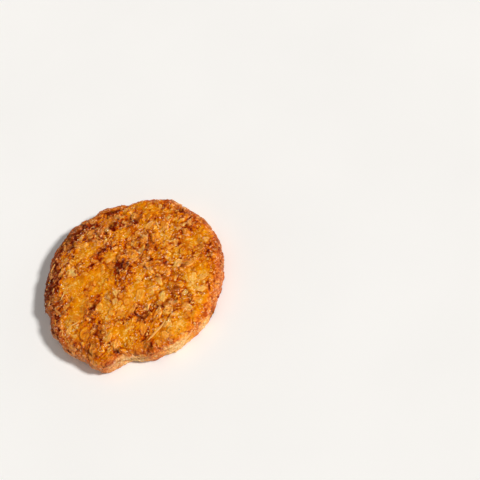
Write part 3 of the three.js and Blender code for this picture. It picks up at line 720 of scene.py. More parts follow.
def make_object(name, verts_mm, quads, tris, attributes, material):
    """A smooth-shaded mesh object from arrays, in metres, with one float attribute for each field."""
    me = bpy.data.meshes.new(name)
    nq, nt = len(quads), len(tris)
    me.vertices.add(len(verts_mm))
    me.vertices.foreach_set("co", (np.asarray(verts_mm) * MM).astype(np.float32).ravel())
    loops = np.concatenate([np.asarray(quads, int).ravel(), np.asarray(tris, int).ravel()]).astype(np.int32)
    me.loops.add(len(loops))
    me.loops.foreach_set("vertex_index", loops)
    me.polygons.add(nq + nt)
    starts = np.concatenate([np.arange(nq) * 4, nq * 4 + np.arange(nt) * 3]).astype(np.int32)
    me.polygons.foreach_set("loop_start", starts)
    me.update(calc_edges=True)
    me.polygons.foreach_set("use_smooth", np.ones(nq + nt, bool))
    for n, a in attributes.items():
        layer = me.attributes.new(n, "FLOAT", "POINT")
        layer.data.foreach_set("value", np.asarray(a, np.float32))
    me.validate()
    me.update()
    me.materials.append(material)
    ob = bpy.data.objects.new(name, me)
    bpy.context.scene.collection.objects.link(ob)
    return ob


# ------------------------------------------------------------------ materials
def srgb(r, g, b):
    """A colour given as it shows on a screen, 0 to 255, as linear light."""
    out = []
    for c in (r, g, b):
        c /= 255.0
        out.append(c / 12.92 if c <= 0.04045 else ((c + 0.055) / 1.055) ** 2.4)
    return (*out, 1.0)


class Nodes:
    def __init__(self, name):
        self.mat = bpy.data.materials.new(name)
        self.mat.use_nodes = True
        self.t = self.mat.node_tree
        self.t.nodes.clear()
        self.out = self.add("ShaderNodeOutputMaterial")
        self.bsdf = self.add("ShaderNodeBsdfPrincipled")
        self.link(self.bsdf.outputs["BSDF"], self.out.inputs["Surface"])
        self.coord = self.add("ShaderNodeTexCoord")

    def add(self, kind, **props):
        n = self.t.nodes.new(kind)
        for k, v in props.items():
            setattr(n, k, v)
        return n

    def link(self, a, b):
        self.t.links.new(a, b)

    def put(self, socket, value):
        if isinstance(value, bpy.types.NodeSocket):
            self.link(value, socket)
        else:
            socket.default_value = value

    def attr(self, name):
        return self.add("ShaderNodeAttribute", attribute_name=name).outputs["Fac"]

    def noise(self, wave_mm, detail=3.0, rough=0.55, distort=0.0, stretch=None):
        n = self.add("ShaderNodeTexNoise", noise_dimensions="3D")
        n.inputs["Scale"].default_value = 1.0 / (wave_mm * MM)
        n.inputs["Detail"].default_value = detail
        n.inputs["Roughness"].default_value = rough
        n.inputs["Distortion"].default_value = distort
        src = self.coord.outputs["Object"]
        if stretch:
            m = self.add("ShaderNodeMapping")
            m.inputs["Scale"].default_value = stretch
            self.link(src, m.inputs["Vector"])
            src = m.outputs["Vector"]
        self.link(src, n.inputs["Vector"])
        return n.outputs["Fac"]

    def voronoi(self, wave_mm, feature="F1"):
        n = self.add("ShaderNodeTexVoronoi", feature=feature)
        n.inputs["Scale"].default_value = 1.0 / (wave_mm * MM)
        self.link(self.coord.outputs["Object"], n.inputs["Vector"])
        return n.outputs["Distance"]

    def math(self, op, a, b=0.0, c=None, clamp=False):
        n = self.add("ShaderNodeMath", operation=op, use_clamp=clamp)
        self.put(n.inputs[0], a)
        self.put(n.inputs[1], b)
        if c is not None:
            self.put(n.inputs[2], c)
        return n.outputs[0]

    def remap(self, v, a, b, c=0.0, d=1.0):
        n = self.add("ShaderNodeMapRange", clamp=True)
        self.put(n.inputs["Value"], v)
        for k, val in zip(("From Min", "From Max", "To Min", "To Max"), (a, b, c, d)):
            n.inputs[k].default_value = val
        return n.outputs["Result"]

    def ramp(self, v, stops):
        n = self.add("ShaderNodeValToRGB")
        el = n.color_ramp.elements
        el[0].position, el[0].color = stops[0][0], stops[0][1]
        el[1].position, el[1].color = stops[-1][0], stops[-1][1]
        for pos, col in stops[1:-1]:
            e = el.new(pos)
            e.color = col
        self.put(n.inputs["Fac"], v)
        return n.outputs["Color"]

    def mix(self, fac, a, b, blend="MIX"):
        n = self.add("ShaderNodeMix", data_type="RGBA", blend_type=blend)
        self.put(n.inputs["Factor"], fac)
        self.put(n.inputs[6], a)
        self.put(n.inputs[7], b)
        return n.outputs[2]

    def bump(self, parts, strength=1.0):
        """Bump from (height 0..1, depth in mm) pairs, chained."""
        normal = None
        for h, depth in parts:
            n = self.add("ShaderNodeBump")
            n.inputs["Strength"].default_value = strength
            n.inputs["Distance"].default_value = depth * MM
            self.put(n.inputs["Height"], h)
            if normal is not None:
                self.link(normal, n.inputs["Normal"])
            normal = n.outputs["Normal"]
        self.link(normal, self.bsdf.inputs["Normal"])


OAT_STOPS = [(0.0, srgb(160, 70, 8)), (0.3, srgb(205, 110, 16)), (0.55, srgb(228, 144, 40)), (0.8, srgb(248, 172, 72)), (1.0, srgb(255, 205, 118))]
TAN_STOPS = [(0.0, srgb(142, 72, 34)), (0.5, srgb(200, 128, 76)), (1.0, srgb(246, 200, 140))]


def dough_material():
    m = Nodes("baked_oat_dough")
    brown, hollow_shade, oat, tint, pale, under = (m.attr(n) for n in ("brown", "hollow_shade", "oat", "tint", "pale", "under"))
    n1, n2, n3 = m.noise(4.5, 3.0), m.noise(1.2, 4.0, 0.6), m.noise(0.5, 3.0, 0.6, 0.6)
    busy = m.remap(m.attr("calm"), 0.0, 1.0, 1.0, 0.75)
    f = m.math("ADD", brown, m.math("MULTIPLY", m.math("MULTIPLY", m.math("SUBTRACT", n1, 0.5), busy), 0.16))
    f = m.math("ADD", f, m.math("MULTIPLY", m.math("MULTIPLY", m.math("SUBTRACT", n2, 0.5), busy), 0.28))
    f = m.math("ADD", f, m.math("MULTIPLY", m.math("MULTIPLY", m.math("SUBTRACT", n3, 0.5), busy), 0.46))
    # painted shade: the crust tone is pushed darker in hollows
    f = m.math("ADD", f, m.math("MULTIPLY", m.math("SUBTRACT", hollow_shade, 0.5), 0.36))
    # the palest stop is partly the dough's own gold and partly painted highlight
    crust = m.ramp(f, [(0.0, srgb(248, 196, 104)), (0.20, srgb(232, 149, 6)), (0.40, srgb(214, 116, 0)), (0.57, srgb(184, 75, 0)),
                       (0.78, srgb(139, 37, 0)), (1.0, srgb(92, 14, 0))])
    wallness = m.attr("wallness")
    t = m.math("ADD", tint, m.math("MULTIPLY", m.math("SUBTRACT", n2, 0.5), 0.5))
    glazed = m.mix(m.math("MULTIPLY", wallness, 0.7), m.ramp(t, OAT_STOPS), m.ramp(t, TAN_STOPS))
    floury = m.ramp(f, [(0.15, srgb(228, 160, 106)), (0.45, srgb(194, 120, 76)), (0.65, srgb(158, 86, 48)), (0.82, srgb(112, 50, 22)), (1.0, srgb(72, 26, 8))])
    crust = m.mix(m.math("MULTIPLY", wallness, 0.88), crust, floury)
    col = m.mix(m.math("MULTIPLY", oat, 0.75), crust, glazed)
    crumb = m.ramp(m.math("ADD", n2, m.math("MULTIPLY", m.math("SUBTRACT", n3, 0.5), 0.9)), [(0.22, srgb(176, 102, 42)), (0.44, srgb(214, 162, 95)), (0.74, srgb(244, 214, 164))])
    col = m.mix(pale, col, crumb)
    # painted highlight: small pale flecks scattered over the busy crust
    fleck_highlight = m.math("MULTIPLY", m.remap(m.noise(0.8, 1.5, 0.5, 0.8), 0.59, 0.68), m.remap(m.attr("calm"), 0.0, 0.7, 1.0, 0.15))
    fleck_highlight = m.math("MULTIPLY", fleck_highlight, m.remap(f, 0.85, 0.5, 0.15, 0.60))
    col = m.mix(fleck_highlight, col, srgb(255, 221, 176))
    streak = m.noise(0.75, 4.0, 0.65, 0.5, stretch=(0.32, 1.0, 1.0))
    sole = m.math("ADD", brown, m.math("MULTIPLY", m.math("SUBTRACT", m.math("ADD", n2, n3), 1.0), 0.28))
    sole = m.ramp(m.math("ADD", sole, m.math("MULTIPLY", m.math("SUBTRACT", streak, 0.5), 0.85)),
                  [(0.1, srgb(198, 134, 84)), (0.42, srgb(166, 100, 58)), (0.66, srgb(130, 72, 38)), (1.0, srgb(72, 33, 13))])
    col = m.mix(under, col, sole)
    # painted shade: the deepest hollows are mixed towards dark red-brown
    painted_shade = m.remap(hollow_shade, 0.64, 1.0, 0.0, 0.46)
    col = m.mix(painted_shade, col, srgb(120, 14, 0))
    m.link(col, m.bsdf.inputs["Base Color"])
    gloss = m.math("ADD", m.remap(n2, 0.3, 0.7, 0.28, 0.50), m.math("MULTIPLY", m.math("MAXIMUM", pale, m.math("MULTIPLY", wallness, 0.8)), 0.25))
    gloss = m.math("ADD", gloss, m.remap(hollow_shade, 0.6, 0.9, 0.0, 0.3))
    gloss = m.math("ADD", gloss, m.math("MULTIPLY", under, 0.25), clamp=True)
    m.link(gloss, m.bsdf.inputs["Roughness"])
    m.bsdf.inputs["Subsurface Weight"].default_value = 0.42
    m.bsdf.inputs["Subsurface Radius"].default_value = (1.0, 0.42, 0.16)
    m.bsdf.inputs["Subsurface Scale"].default_value = 0.0009
    m.bsdf.inputs["Specular IOR Level"].default_value = 0.10
    m.bsdf.inputs["Specular Tint"].default_value = (1.0, 0.52, 0.06, 1.0)
    m.bsdf.inputs["Coat Weight"].default_value = 0.02
    m.bsdf.inputs["Coat Roughness"].default_value = 0.16
    m.bump([(n2, 0.18), (n3, 0.13), (m.noise(0.22, 2.0), 0.05), (fleck_highlight, 0.05), (m.math("MULTIPLY", streak, under), 0.22)], 0.85)
    m.link(m.bsdf.inputs["Normal"].links[0].from_socket, m.bsdf.inputs["Coat Normal"])
    return m.mat


def oat_material(name, gloss=(0.22, 0.45)):
    m = Nodes(name)
    tint, rim, toast = m.attr("tint"), m.attr("rim"), m.attr("toast")
    n2, n3 = m.noise(0.9, 4.0, 0.6), m.noise(0.3, 3.0, 0.6)
    t = m.math("ADD", tint, m.math("MULTIPLY", m.math("SUBTRACT", n2, 0.5), 0.9))
    t = m.math("ADD", t, m.math("MULTIPLY", m.math("SUBTRACT", n3, 0.5), 0.5))
    col = m.mix(m.attr("flour"), m.ramp(t, OAT_STOPS), m.ramp(t, TAN_STOPS))
    lip = m.remap(rim, 0.55, 1.0)
    col = m.mix(m.math("MULTIPLY", lip, toast, clamp=True), col, srgb(138, 50, 0))
    # a pale lip where toast is below zero: painted highlight along the raised edge
    col = m.mix(m.math("MULTIPLY", lip, m.math("MULTIPLY", toast, -0.8), clamp=True), col, srgb(250, 200, 122))
    m.link(col, m.bsdf.inputs["Base Color"])
    m.link(m.remap(n2, 0.3, 0.7, *gloss), m.bsdf.inputs["Roughness"])
    m.bsdf.inputs["Subsurface Weight"].default_value = 0.3
    m.bsdf.inputs["Subsurface Radius"].default_value = (1.0, 0.5, 0.22)
    m.bsdf.inputs["Subsurface Scale"].default_value = 0.0010
    m.bsdf.inputs["Specular IOR Level"].default_value = 0.25
    m.bsdf.inputs["Specular Tint"].default_value = (1.0, 0.80, 0.48, 1.0)
    m.bsdf.inputs["Coat Weight"].default_value = 0.08
    m.bsdf.inputs["Coat Roughness"].default_value = 0.16
    m.bump([(n2, 0.16), (n3, 0.09)], 0.85)
    return m.mat


def husk_material():
    m = Nodes("bran_husk")
    tint = m.attr("tint")
    n2 = m.noise(0.35, 3.0, 0.6)
    col = m.ramp(m.math("ADD", tint, m.math("MULTIPLY", m.math("SUBTRACT", n2, 0.5), 0.5)),
                 [(0.0, srgb(170, 100, 36)), (0.5, srgb(228, 164, 74)), (1.0, srgb(250, 214, 140))])
    m.link(col, m.bsdf.inputs["Base Color"])
    m.link(m.remap(n2, 0.3, 0.7, 0.35, 0.6), m.bsdf.inputs["Roughness"])
    m.bump([(n2, 0.06)], 0.8)
    return m.mat


def sugar_and_glint_material():
    m = Nodes("sugar_and_glint_grain")
    tint = m.attr("tint")
    n2 = m.noise(0.25, 2.0, 0.5)
    # near-white grains: painted highlight
    col = m.ramp(m.math("ADD", tint, m.math("MULTIPLY", m.math("SUBTRACT", n2, 0.5), 0.4)),
                 [(0.0, srgb(246, 196, 116)), (0.6, srgb(255, 228, 178)), (1.0, srgb(255, 244, 222))])
    m.link(col, m.bsdf.inputs["Base Color"])
    m.link(m.remap(n2, 0.3, 0.7, 0.3, 0.5), m.bsdf.inputs["Roughness"])
    m.bsdf.inputs["Subsurface Weight"].default_value = 0.25
    m.bsdf.inputs["Subsurface Radius"].default_value = (1.0, 0.7, 0.4)
    m.bsdf.inputs["Subsurface Scale"].default_value = 0.0006
    return m.mat


# ------------------------------------------------------------------ loose and half-sunk bits
def surface_point(kind, p, q):
    """Place on the crust and its normal: kind 'top' takes x, y; kind 'wall' takes distance round and down."""
    if kind == "top":
        e = 0.5
        n = np.array([-(slope_h(p + e, q) - slope_h(p - e, q)) / (2 * e), -(slope_h(p, q + e) - slope_h(p, q - e)) / (2 * e), 1.0])
        return np.array([p, q, top_height(p, q)]), n / np.linalg.norm(n)
    phi = p / RADIUS
    r, z = np.interp(q, PQ, PR), np.interp(q, PQ, PZ)
    nr, nz = np.interp(q, PQ, PNR), np.interp(q, PQ, PNZ)
    k = float(outline(np.array([phi]))[0])
    w_top, w_wall, keep = (float(v) for v in edge_mix(np.array(q)))
    x0, y0 = r * k * math.cos(phi), r * k * math.sin(phi)
    h = keep * (w_top * float(top.at(top.h, np.array([x0]), np.array([y0]))[0]) + w_wall * float(wall.at(wall.h, np.array([p]), np.array([q]))[0]))
    h *= 1.0 - float(smooth(WALL_LEN - 2.2, WALL_LEN, np.array(q)))
    rr = r * k + nr * h
    return np.array([rr * math.cos(phi), rr * math.sin(phi), max(z + nz * h, 0.0)]), np.array([nr * math.cos(phi), nr * math.sin(phi), nz])


top_soft = blur(top.h, 7)
top_toast = blur(top.brown, 5)


def shell_at(x, y):
    """Height of the plain upper side, dome and rounded edge."""
    rn = math.hypot(x, y) / float(outline(np.array([math.atan2(y, x)]))[0])
    if rn <= SHOULDER_R:
        return float(dome(rn / SHOULDER_R))
    c = min((rn - SHOULDER_R) / UPPER_OUT, 1.0)
    return SHOULDER_Z - UPPER_DROP + UPPER_DROP * math.sqrt(1 - c * c)


def slope_h(x, y):
    return shell_at(x, y) + field_at(top_soft, x, y)


def top_height(x, y):
    return shell_at(x, y) + field_at(top.h, x, y)


def flake_shape(r, segs, rings, a, b, thick, lift, crease, rag):
    """One oat flake about its own middle: a thin broken plate with one side lifted, creased along its length, closed beneath."""
    phi = np.arange(segs) / segs * TAU
    out = broken(r, phi, rag)
    if r.uniform() < 0.5:  # a nick in the edge
        at = r.uniform(0, TAU)
        out = out * (1 - r.uniform(0.12, 0.35) * np.exp(-(((phi - at + math.pi) % TAU - math.pi) / 0.35) ** 2))
    up_at = r.uniform(0, TAU)
    side = 0.5 + 0.5 * np.cos(phi - up_at)
    k1, k2, k3 = r.uniform(3.0, 6.0), r.uniform(1.0, 3.0), r.uniform(0, TAU)
    vs, rim = [[0.0, 0.0, 0.5 * thick - crease]], [0.0]
    for j in range(1, rings + 1):
        t = j / rings
        x, y = a * t * out * np.cos(phi), b * t * out * np.sin(phi)
        ripple = 0.22 * thick * np.sin(k1 * y + 1.4 * np.sin(k2 * x + k3) + k3)
        z = 0.5 * thick * (1 - t ** 8) + lift * t * np.cos(phi - up_at) + 0.6 * lift * side ** 2 * t ** 4 + ripple * (1 - t ** 8)
        z = z - crease * np.exp(-(y / (0.16 * b)) ** 2) * (1 - 0.7 * t) + 0.10 * thick * r.normal(size=segs) * (t < 1)
        vs += list(np.stack([x, y, z], -1))
        rim += list(t * (0.25 + 0.75 * side))
    x, y = a * 0.93 * out * np.cos(phi), b * 0.93 * out * np.sin(phi)
    vs += list(np.stack([x, y, 0.93 * lift * np.cos(phi - up_at) + 0.5 * lift * side ** 2 - 0.5 * thick], -1))
    rim += [0.4] * segs
    vs.append([0.0, 0.0, -0.5 * thick])
    rim.append(0.4)
    return np.array(vs), np.array(rim)


def flake_faces(segs, rings):
    i = np.arange(segs)
    j = (i + 1) % segs
    tris = [np.stack([np.zeros(segs, int), 1 + i, 1 + j], -1)]
    quads = []
    for k in range(rings):
        a = 1 + k * segs
        b = 1 + (k + 1) * segs
        quads.append(np.stack([a + i, b + i, b + j, a + j], -1))
    last = 1 + rings * segs
    tris.append(np.stack([last + i, np.full(segs, last + segs), last + j], -1))
    return np.vstack(quads), np.vstack(tris)


def frame_for(n, turn, lean, lean_dir):
    """Axes of a flake lying on a surface with normal n, turned, then leaned over."""
    ref = np.array([1.0, 0, 0]) if abs(n[0]) < 0.8 else np.array([0, 1.0, 0])
    t1 = np.cross(n, np.cross(ref, n))
    t1 /= np.linalg.norm(t1)
    t2 = np.cross(n, t1)
    axis = math.cos(lean_dir) * t1 + math.sin(lean_dir) * t2
    c, s = math.cos(lean), math.sin(lean)

    def rot(v):
        return v * c + np.cross(axis, v) * s + axis * np.dot(axis, v) * (1 - c)

    e1, e2, e3 = rot(math.cos(turn) * t1 + math.sin(turn) * t2), rot(-math.sin(turn) * t1 + math.cos(turn) * t2), rot(n)
    return np.stack([e1, e2, e3])


class Bits:
    """Many small pieces gathered into one mesh."""

    def __init__(self):
        self.v, self.q, self.t, self.count = [], [], [], 0
        self.att = {"tint": [], "rim": [], "toast": [], "flour": []}
        self.cells = []

    def add(self, verts, quads, tris, tint, rim, toast, flour=0.0):
        self.v.append(verts)
        if len(quads):
            self.q.append(quads + self.count)
        if len(tris):
            self.t.append(tris + self.count)
        n = len(verts)
        self.cells.append((self.count, n))
        self.count += n
        self.att["tint"].append(np.full(n, tint))
        self.att["rim"].append(rim)
        self.att["toast"].append(np.full(n, toast))
        self.att["flour"].append(np.full(n, flour))

    def build(self, name, material):
        v = np.vstack(self.v)
        v[:, :2] += AXIS
        v[:, 2] = np.maximum(v[:, 2], 0.02)
        q = np.vstack(self.q) if self.q else np.zeros((0, 4), int)
        t = np.vstack(self.t) if self.t else np.zeros((0, 3), int)
        return make_object(name, v, q, t, {n: np.concatenate(a) for n, a in self.att.items()}, material)


def lay_flake(bits, r, kind, p, q, a, b, thick, turn, lean, lean_dir, sink, tint, toast, segs, rings, lift=0.1, crease=0.0, rag=0.14, keep=0.0):
    c, n = surface_point(kind, p, q)
    if kind == "wall":
        sink += 0.06
        raw = float(wall.at(wall.pale, np.array([p]), np.array([q]))[0])
        tint, toast = tint * (1 - raw) + 0.9 * raw, toast * (1 - raw)
    # flakes on the darkened left edge and in toasted crust are darker too; on the left edge this is partly painted
    # shade
    singe = field_at(burn_and_shade, c[0], c[1])
    if kind == "top":
        singe = max(singe, min(1.0, 1.6 * (field_at(top_toast, c[0], c[1]) - 0.52)))
    singe = max(singe, 0.0) * (1.0 - keep)
    tint, toast = tint - 0.75 * singe, toast + 0.9 * singe
    verts, rim = flake_shape(r, segs, rings, a, b, thick, lift, crease, rag)
    m = frame_for(n, turn, lean, lean_dir)
    pts = verts @ m + c + n * (0.5 * thick - sink)
    quads, tris = flake_faces(segs, rings)
    bits.add(pts, quads, tris, tint, rim, toast, 0.75 if kind == "wall" else 0.5 * singe)


frng = np.random.default_rng(5150)
flakes, left_out = Bits(), Bits()
# places on the top where no loose flake lies: (pixel), reach in mm
BARE = [(*at_px(*place), reach) for place, reach in (((127, 265), 2.2), ((119, 267), 2.4), ((93, 306), 1.2), ((139, 313), 1.6))]


def bare(x, y):
    return any(math.hypot(x - bx, y - by) < reach for bx, by, reach in BARE)


# flakes lying open on the crust, nearly level with it
for (px, py), length, width, turn, height, tint, show in MARKED_FLAKES:
    if show < 0.85:
        continue
    x, y = at_px(px, py)
    lay_flake(flakes, frng, "top", x, y, length * 0.43, max(width, 0.62 * length) * 0.43, 0.26, math.radians(turn), 0.04 + abs(frng.normal()) * 0.06,
              frng.uniform(0, TAU), 0.27, tint + 0.06, frng.uniform(-0.8, 0.1), 32, 7, lift=frng.uniform(0.05, 0.12), crease=0.02, rag=0.28)
placed = 0
while placed < 36:
    rad, t = 31.0 * math.sqrt(frng.uniform()), frng.uniform(0, TAU)
    x, y = rad * math.cos(t), rad * math.sin(t)
    if frng.uniform() > field_at(rough_zone, x, y):
        continue
    a = frng.uniform(0.8, 1.9)
    lay_flake(left_out if bare(x, y) else flakes, frng, "top", x, y, a, a * frng.uniform(0.62, 0.95), frng.uniform(0.22, 0.32), frng.uniform(0, TAU), 0.04 + abs(frng.normal()) * 0.10, frng.uniform(0, TAU),
              frng.uniform(0.29, 0.38), frng.uniform(0.15, 0.65), frng.uniform(-0.6, 0.3), 26, 6, lift=frng.uniform(0.06, 0.16), crease=0.02, rag=0.24)
    placed += 1
for _ in range(24):
    a = frng.uniform(0.8, 1.7)
    lay_flake(flakes, frng, "wall", frng.uniform(0, GIRTH), frng.uniform(1.0, WALL_LEN - 3.0), a, a * frng.uniform(0.45, 0.8), frng.uniform(0.25, 0.42), frng.uniform(0, TAU),
              abs(frng.normal()) * 0.08, frng.uniform(0, TAU), frng.uniform(0.30, 0.42), frng.uniform(0.05, 0.6), frng.uniform(-0.4, 0.6), 22, 5,
              lift=frng.uniform(0.05, 0.12), crease=0.04, rag=0.28)

# narrow flakes and slivers of bran along the left edge, painted burnt and shaded, lying with it
husks = Bits()
for i in range(46):
    t = math.radians(frng.normal() * 30 + 178)
    rad = frng.uniform(28.8, 32.6) * float(outline(np.array([t]))[0])
    a = 0.45 + 1.5 * frng.uniform() ** 1.6
    lay_flake(husks if i % 3 else flakes, frng, "top", rad * math.cos(t), rad * math.sin(t), a, frng.uniform(0.22, 0.5), frng.uniform(0.2, 0.3),
              t + math.pi / 2 + frng.normal() * 0.35, abs(frng.normal()) * 0.2, frng.uniform(0, TAU), frng.uniform(0.16, 0.26), frng.uniform(0.10, 0.60), frng.uniform(-0.5, 0.4), 18, 4,
              lift=frng.uniform(0.03, 0.10), rag=0.25, keep=0.75)

chips = Bits()
placed = 0
while placed < 150:
    rad, t = 32.3 * math.sqrt(frng.uniform()), frng.uniform(0, TAU)
    x, y = rad * math.cos(t), rad * math.sin(t)
    if frng.uniform() > field_at(rough_zone, x, y) ** 1.5:
        continue
    a = 0.30 + 0.55 * frng.uniform() ** 1.8
    lay_flake(left_out if bare(x, y) else chips, frng, "top", x, y, a, a * frng.uniform(0.4, 0.9), frng.uniform(0.16, 0.26), frng.uniform(0, TAU), abs(frng.normal()) * 0.16, frng.uniform(0, TAU),
              frng.uniform(0.14, 0.24), frng.uniform(0.25, 0.9), frng.uniform(-0.6, 0.2), 12, 3, lift=frng.uniform(0.02, 0.08), rag=0.25)
    placed += 1
# pale crumbs of broken oat, in clusters: place in pixels, spread in mm, how many
CRUMB_CLUSTERS = [
    ((186, 290), 1.6, 16), ((191, 299), 1.8, 12), ((197, 283), 1.6, 9), ((169, 321), 1.2, 9), ((163, 297), 1.3, 8), ((116, 291), 1.2, 8), ((117, 302), 1.1, 6),
    ((147, 279), 0.5, 2), ((133, 243), 1.3, 5), ((127, 234), 1.2, 4), ((109, 230), 1.2, 8), ((81, 234), 1.0, 6), ((62, 284), 1.3, 7), ((66, 296), 1.2, 5),
    ((71, 262), 1.4, 6), ((72, 331), 1.6, 9), ((92, 331), 1.0, 4), ((137, 343), 0.6, 2), ((60, 322), 1.2, 5), ((162, 229), 1.6, 9), ((172, 236), 1.8, 8),
    ((133, 214), 1.2, 5), ((116, 215), 1.2, 5), ((139, 306), 0.8, 5), ((136, 299), 0.6, 3), ((84, 246), 1.2, 5), ((180, 262), 1.5, 6), ((192, 262), 1.5, 6),
    ((158, 312), 1.4, 6), ((145, 331), 1.4, 6), ((125, 318), 1.6, 7), ((102, 317), 1.5, 7), ((110, 346), 1.4, 5), ((63, 343), 1.4, 5), ((148, 252), 1.8, 7),
    ((104, 240), 1.6, 6), ((198, 250), 2.6, 9), ((186, 228), 3.0, 10), ((170, 212), 2.6, 8), ((206, 272), 1.6, 5),
]
for (px, py), spread, count in CRUMB_CLUSTERS:
    x0, y0 = at_px(px, py)
    for _ in range((count + 1) // 2):
        a = 0.28 + 0.46 * frng.uniform() ** 1.4
        x, y = x0 + spread * frng.normal() * 0.7, y0 + spread * frng.normal() * 0.7
        far = math.hypot(x, y) / float(outline(np.array([math.atan2(y, x)]))[0])
        if far > 31.0:
            x, y = x * 31.0 / far, y * 31.0 / far
        lay_flake(left_out if bare(x, y) else chips, frng, "top", x, y, a, a * frng.uniform(0.4, 0.9), frng.uniform(0.14, 0.22),
                  frng.uniform(0, TAU), abs(frng.normal()) * 0.14, frng.uniform(0, TAU), frng.uniform(0.11, 0.19), frng.uniform(0.5, 1.05), -0.3, 12, 3,
                  lift=frng.uniform(0.01, 0.07), rag=0.28)
for _ in range(150):
    a = 0.3 + 0.7 * frng.uniform() ** 1.8
    lay_flake(chips, frng, "wall", frng.uniform(0, GIRTH), frng.uniform(0.8, WALL_LEN - 2.4), a, a * frng.uniform(0.4, 0.9), frng.uniform(0.2, 0.4), frng.uniform(0, TAU),
              abs(frng.normal()) * 0.25, frng.uniform(0, TAU), frng.uniform(0.12, 0.28), frng.uniform(0.05, 0.8), frng.uniform(-0.4, 0.8), 11, 3,
              lift=frng.uniform(0.04, 0.12), rag=0.22)


def lay_husk(bits, r, x, y, turn, length, width, tint, rise=0.12, bend=0.05):
    """A thin straw sliver pressed along the crust."""
    n_seg = 12
    t = np.linspace(-0.5, 0.5, n_seg + 1)
    bow = r.normal() * bend * length
    vs, rim = [], []
    for s in t:
        off = bow * (1 - 4 * s * s)
        px = x + math.cos(turn) * s * length - math.sin(turn) * off
        py = y + math.sin(turn) * s * length + math.cos(turn) * off
        wd = width * 0.5 * (1 - (2 * abs(s)) ** 3) + 0.03
        z = slope_h(px, py) + rise
        sx, sy = -math.sin(turn), math.cos(turn)
        for o, dz in ((-wd, -0.16), (-wd * 0.6, 0.02), (0, 0.10), (wd * 0.6, 0.02), (wd, -0.16)):
            vs.append([px + sx * o, py + sy * o, z + dz])
            rim.append(0.3)
    m = 5
    quads = []
    for i in range(n_seg):
        for j in range(m):
            a0, a1 = i * m + j, i * m + (j + 1) % m
            quads.append([a0, a0 + m, a1 + m, a1])
    tris = [[0, 1, 2], [0, 2, 3], [0, 3, 4]]
    e = n_seg * m
    tris += [[e, e + 2, e + 1], [e, e + 3, e + 2], [e, e + 4, e + 3]]
    bits.add(np.array(vs), np.array(quads), np.array(tris), tint, np.array(rim), 0.2)


turn, length = px_dir(146.5, 340.5, 165.5, 318.5)
x, y = at_px(156, 329.5)
lay_husk(husks, frng, x, y, turn, length, 0.95, 0.44, 0.14, 0.01)
for (p0, p1, w, tint) in [((70, 325), (78, 322), 0.5, 0.7), ((147, 289), (156, 285), 0.35, 0.6), ((60, 300), (64, 293), 0.5, 0.6), ((159, 227), (156, 221), 0.4, 0.7)]:
    turn, length = px_dir(*p0, *p1)
    x, y = at_px((p0[0] + p1[0]) / 2, (p0[1] + p1[1]) / 2)
    lay_husk(husks, frng, x, y, turn, length, w, tint)
for _ in range(10):
    rad, t = 30.0 * math.sqrt(frng.uniform()), frng.uniform(0, TAU)
    lay_husk(husks, frng, rad * math.cos(t), rad * math.sin(t), frng.uniform(0, TAU), frng.uniform(1.2, 2.6), frng.uniform(0.25, 0.4), frng.uniform(0.1, 0.7), 0.06)

# sugar grains and crumbs: small uneven blocks, pale enough to stand in for glints: painted highlight
sugar = Bits()
ico_v = np.array([[0, 0, 1], [0.894, 0, 0.447], [0.276, 0.851, 0.447], [-0.724, 0.526, 0.447], [-0.724, -0.526, 0.447], [0.276, -0.851, 0.447],
                  [0.724, 0.526, -0.447], [-0.276, 0.851, -0.447], [-0.894, 0, -0.447], [-0.276, -0.851, -0.447], [0.724, -0.526, -0.447], [0, 0, -1]])
ico_f = np.array([[0, 1, 2], [0, 2, 3], [0, 3, 4], [0, 4, 5], [0, 5, 1], [1, 6, 2], [2, 7, 3], [3, 8, 4], [4, 9, 5], [5, 10, 1],
                  [2, 6, 7], [3, 7, 8], [4, 8, 9], [5, 9, 10], [1, 10, 6], [6, 11, 7], [7, 11, 8], [8, 11, 9], [9, 11, 10], [10, 11, 6]])
# bright grains set where glints show, a painted highlight: (pixel)
GLINT_GRAINS = [(145.5, 278.5), (135, 298.5), (139, 300.5), (91, 330.5), (126, 337.5), (61.5, 338.5), (64, 333.5), (57, 290), (61, 284.5), (63, 288), (185, 291), (188.5, 297), (197, 283),
                 (184, 294), (200, 298.5), (190, 305), (168, 320), (170, 325), (116, 280.5), (113, 289), (119, 286), (80, 232.5), (83, 235), (108, 231), (106, 239), (123, 235), (59, 315),
                 (149, 222), (133, 221), (141, 235), (160, 218), (103, 346), (117, 351), (66, 303), (147, 294), (122, 292)]
for i in range(120 + len(GLINT_GRAINS)):
    on_top = i < 96 or i >= 120
    size = frng.uniform(0.10, 0.22)
    if on_top:
        rad, t = 31.5 * math.sqrt(frng.uniform()), frng.uniform(0, TAU)
        if i >= 120:
            size = frng.uniform(0.14, 0.22)
            c, n = surface_point("top", *at_px(*GLINT_GRAINS[i - 120]))
        else:
            c, n = surface_point("top", rad * math.cos(t), rad * math.sin(t))
    else:
        c, n = surface_point("wall", frng.uniform(0, GIRTH), frng.uniform(0.3, WALL_LEN - 2.2))
    m = frame_for(n, frng.uniform(0, TAU), frng.uniform(0, 0.8), frng.uniform(0, TAU))
    block = ico_v * (1 + 0.18 * frng.normal(size=(12, 1))) * np.array([1.5, 0.9, 0.55]) * size
    sugar.add(block @ m + c + n * size * 0.1, np.zeros((0, 4), int), ico_f, frng.uniform(0.0, 1.0) if i < 120 else frng.uniform(0.7, 1.2), np.zeros(12), 0.0)

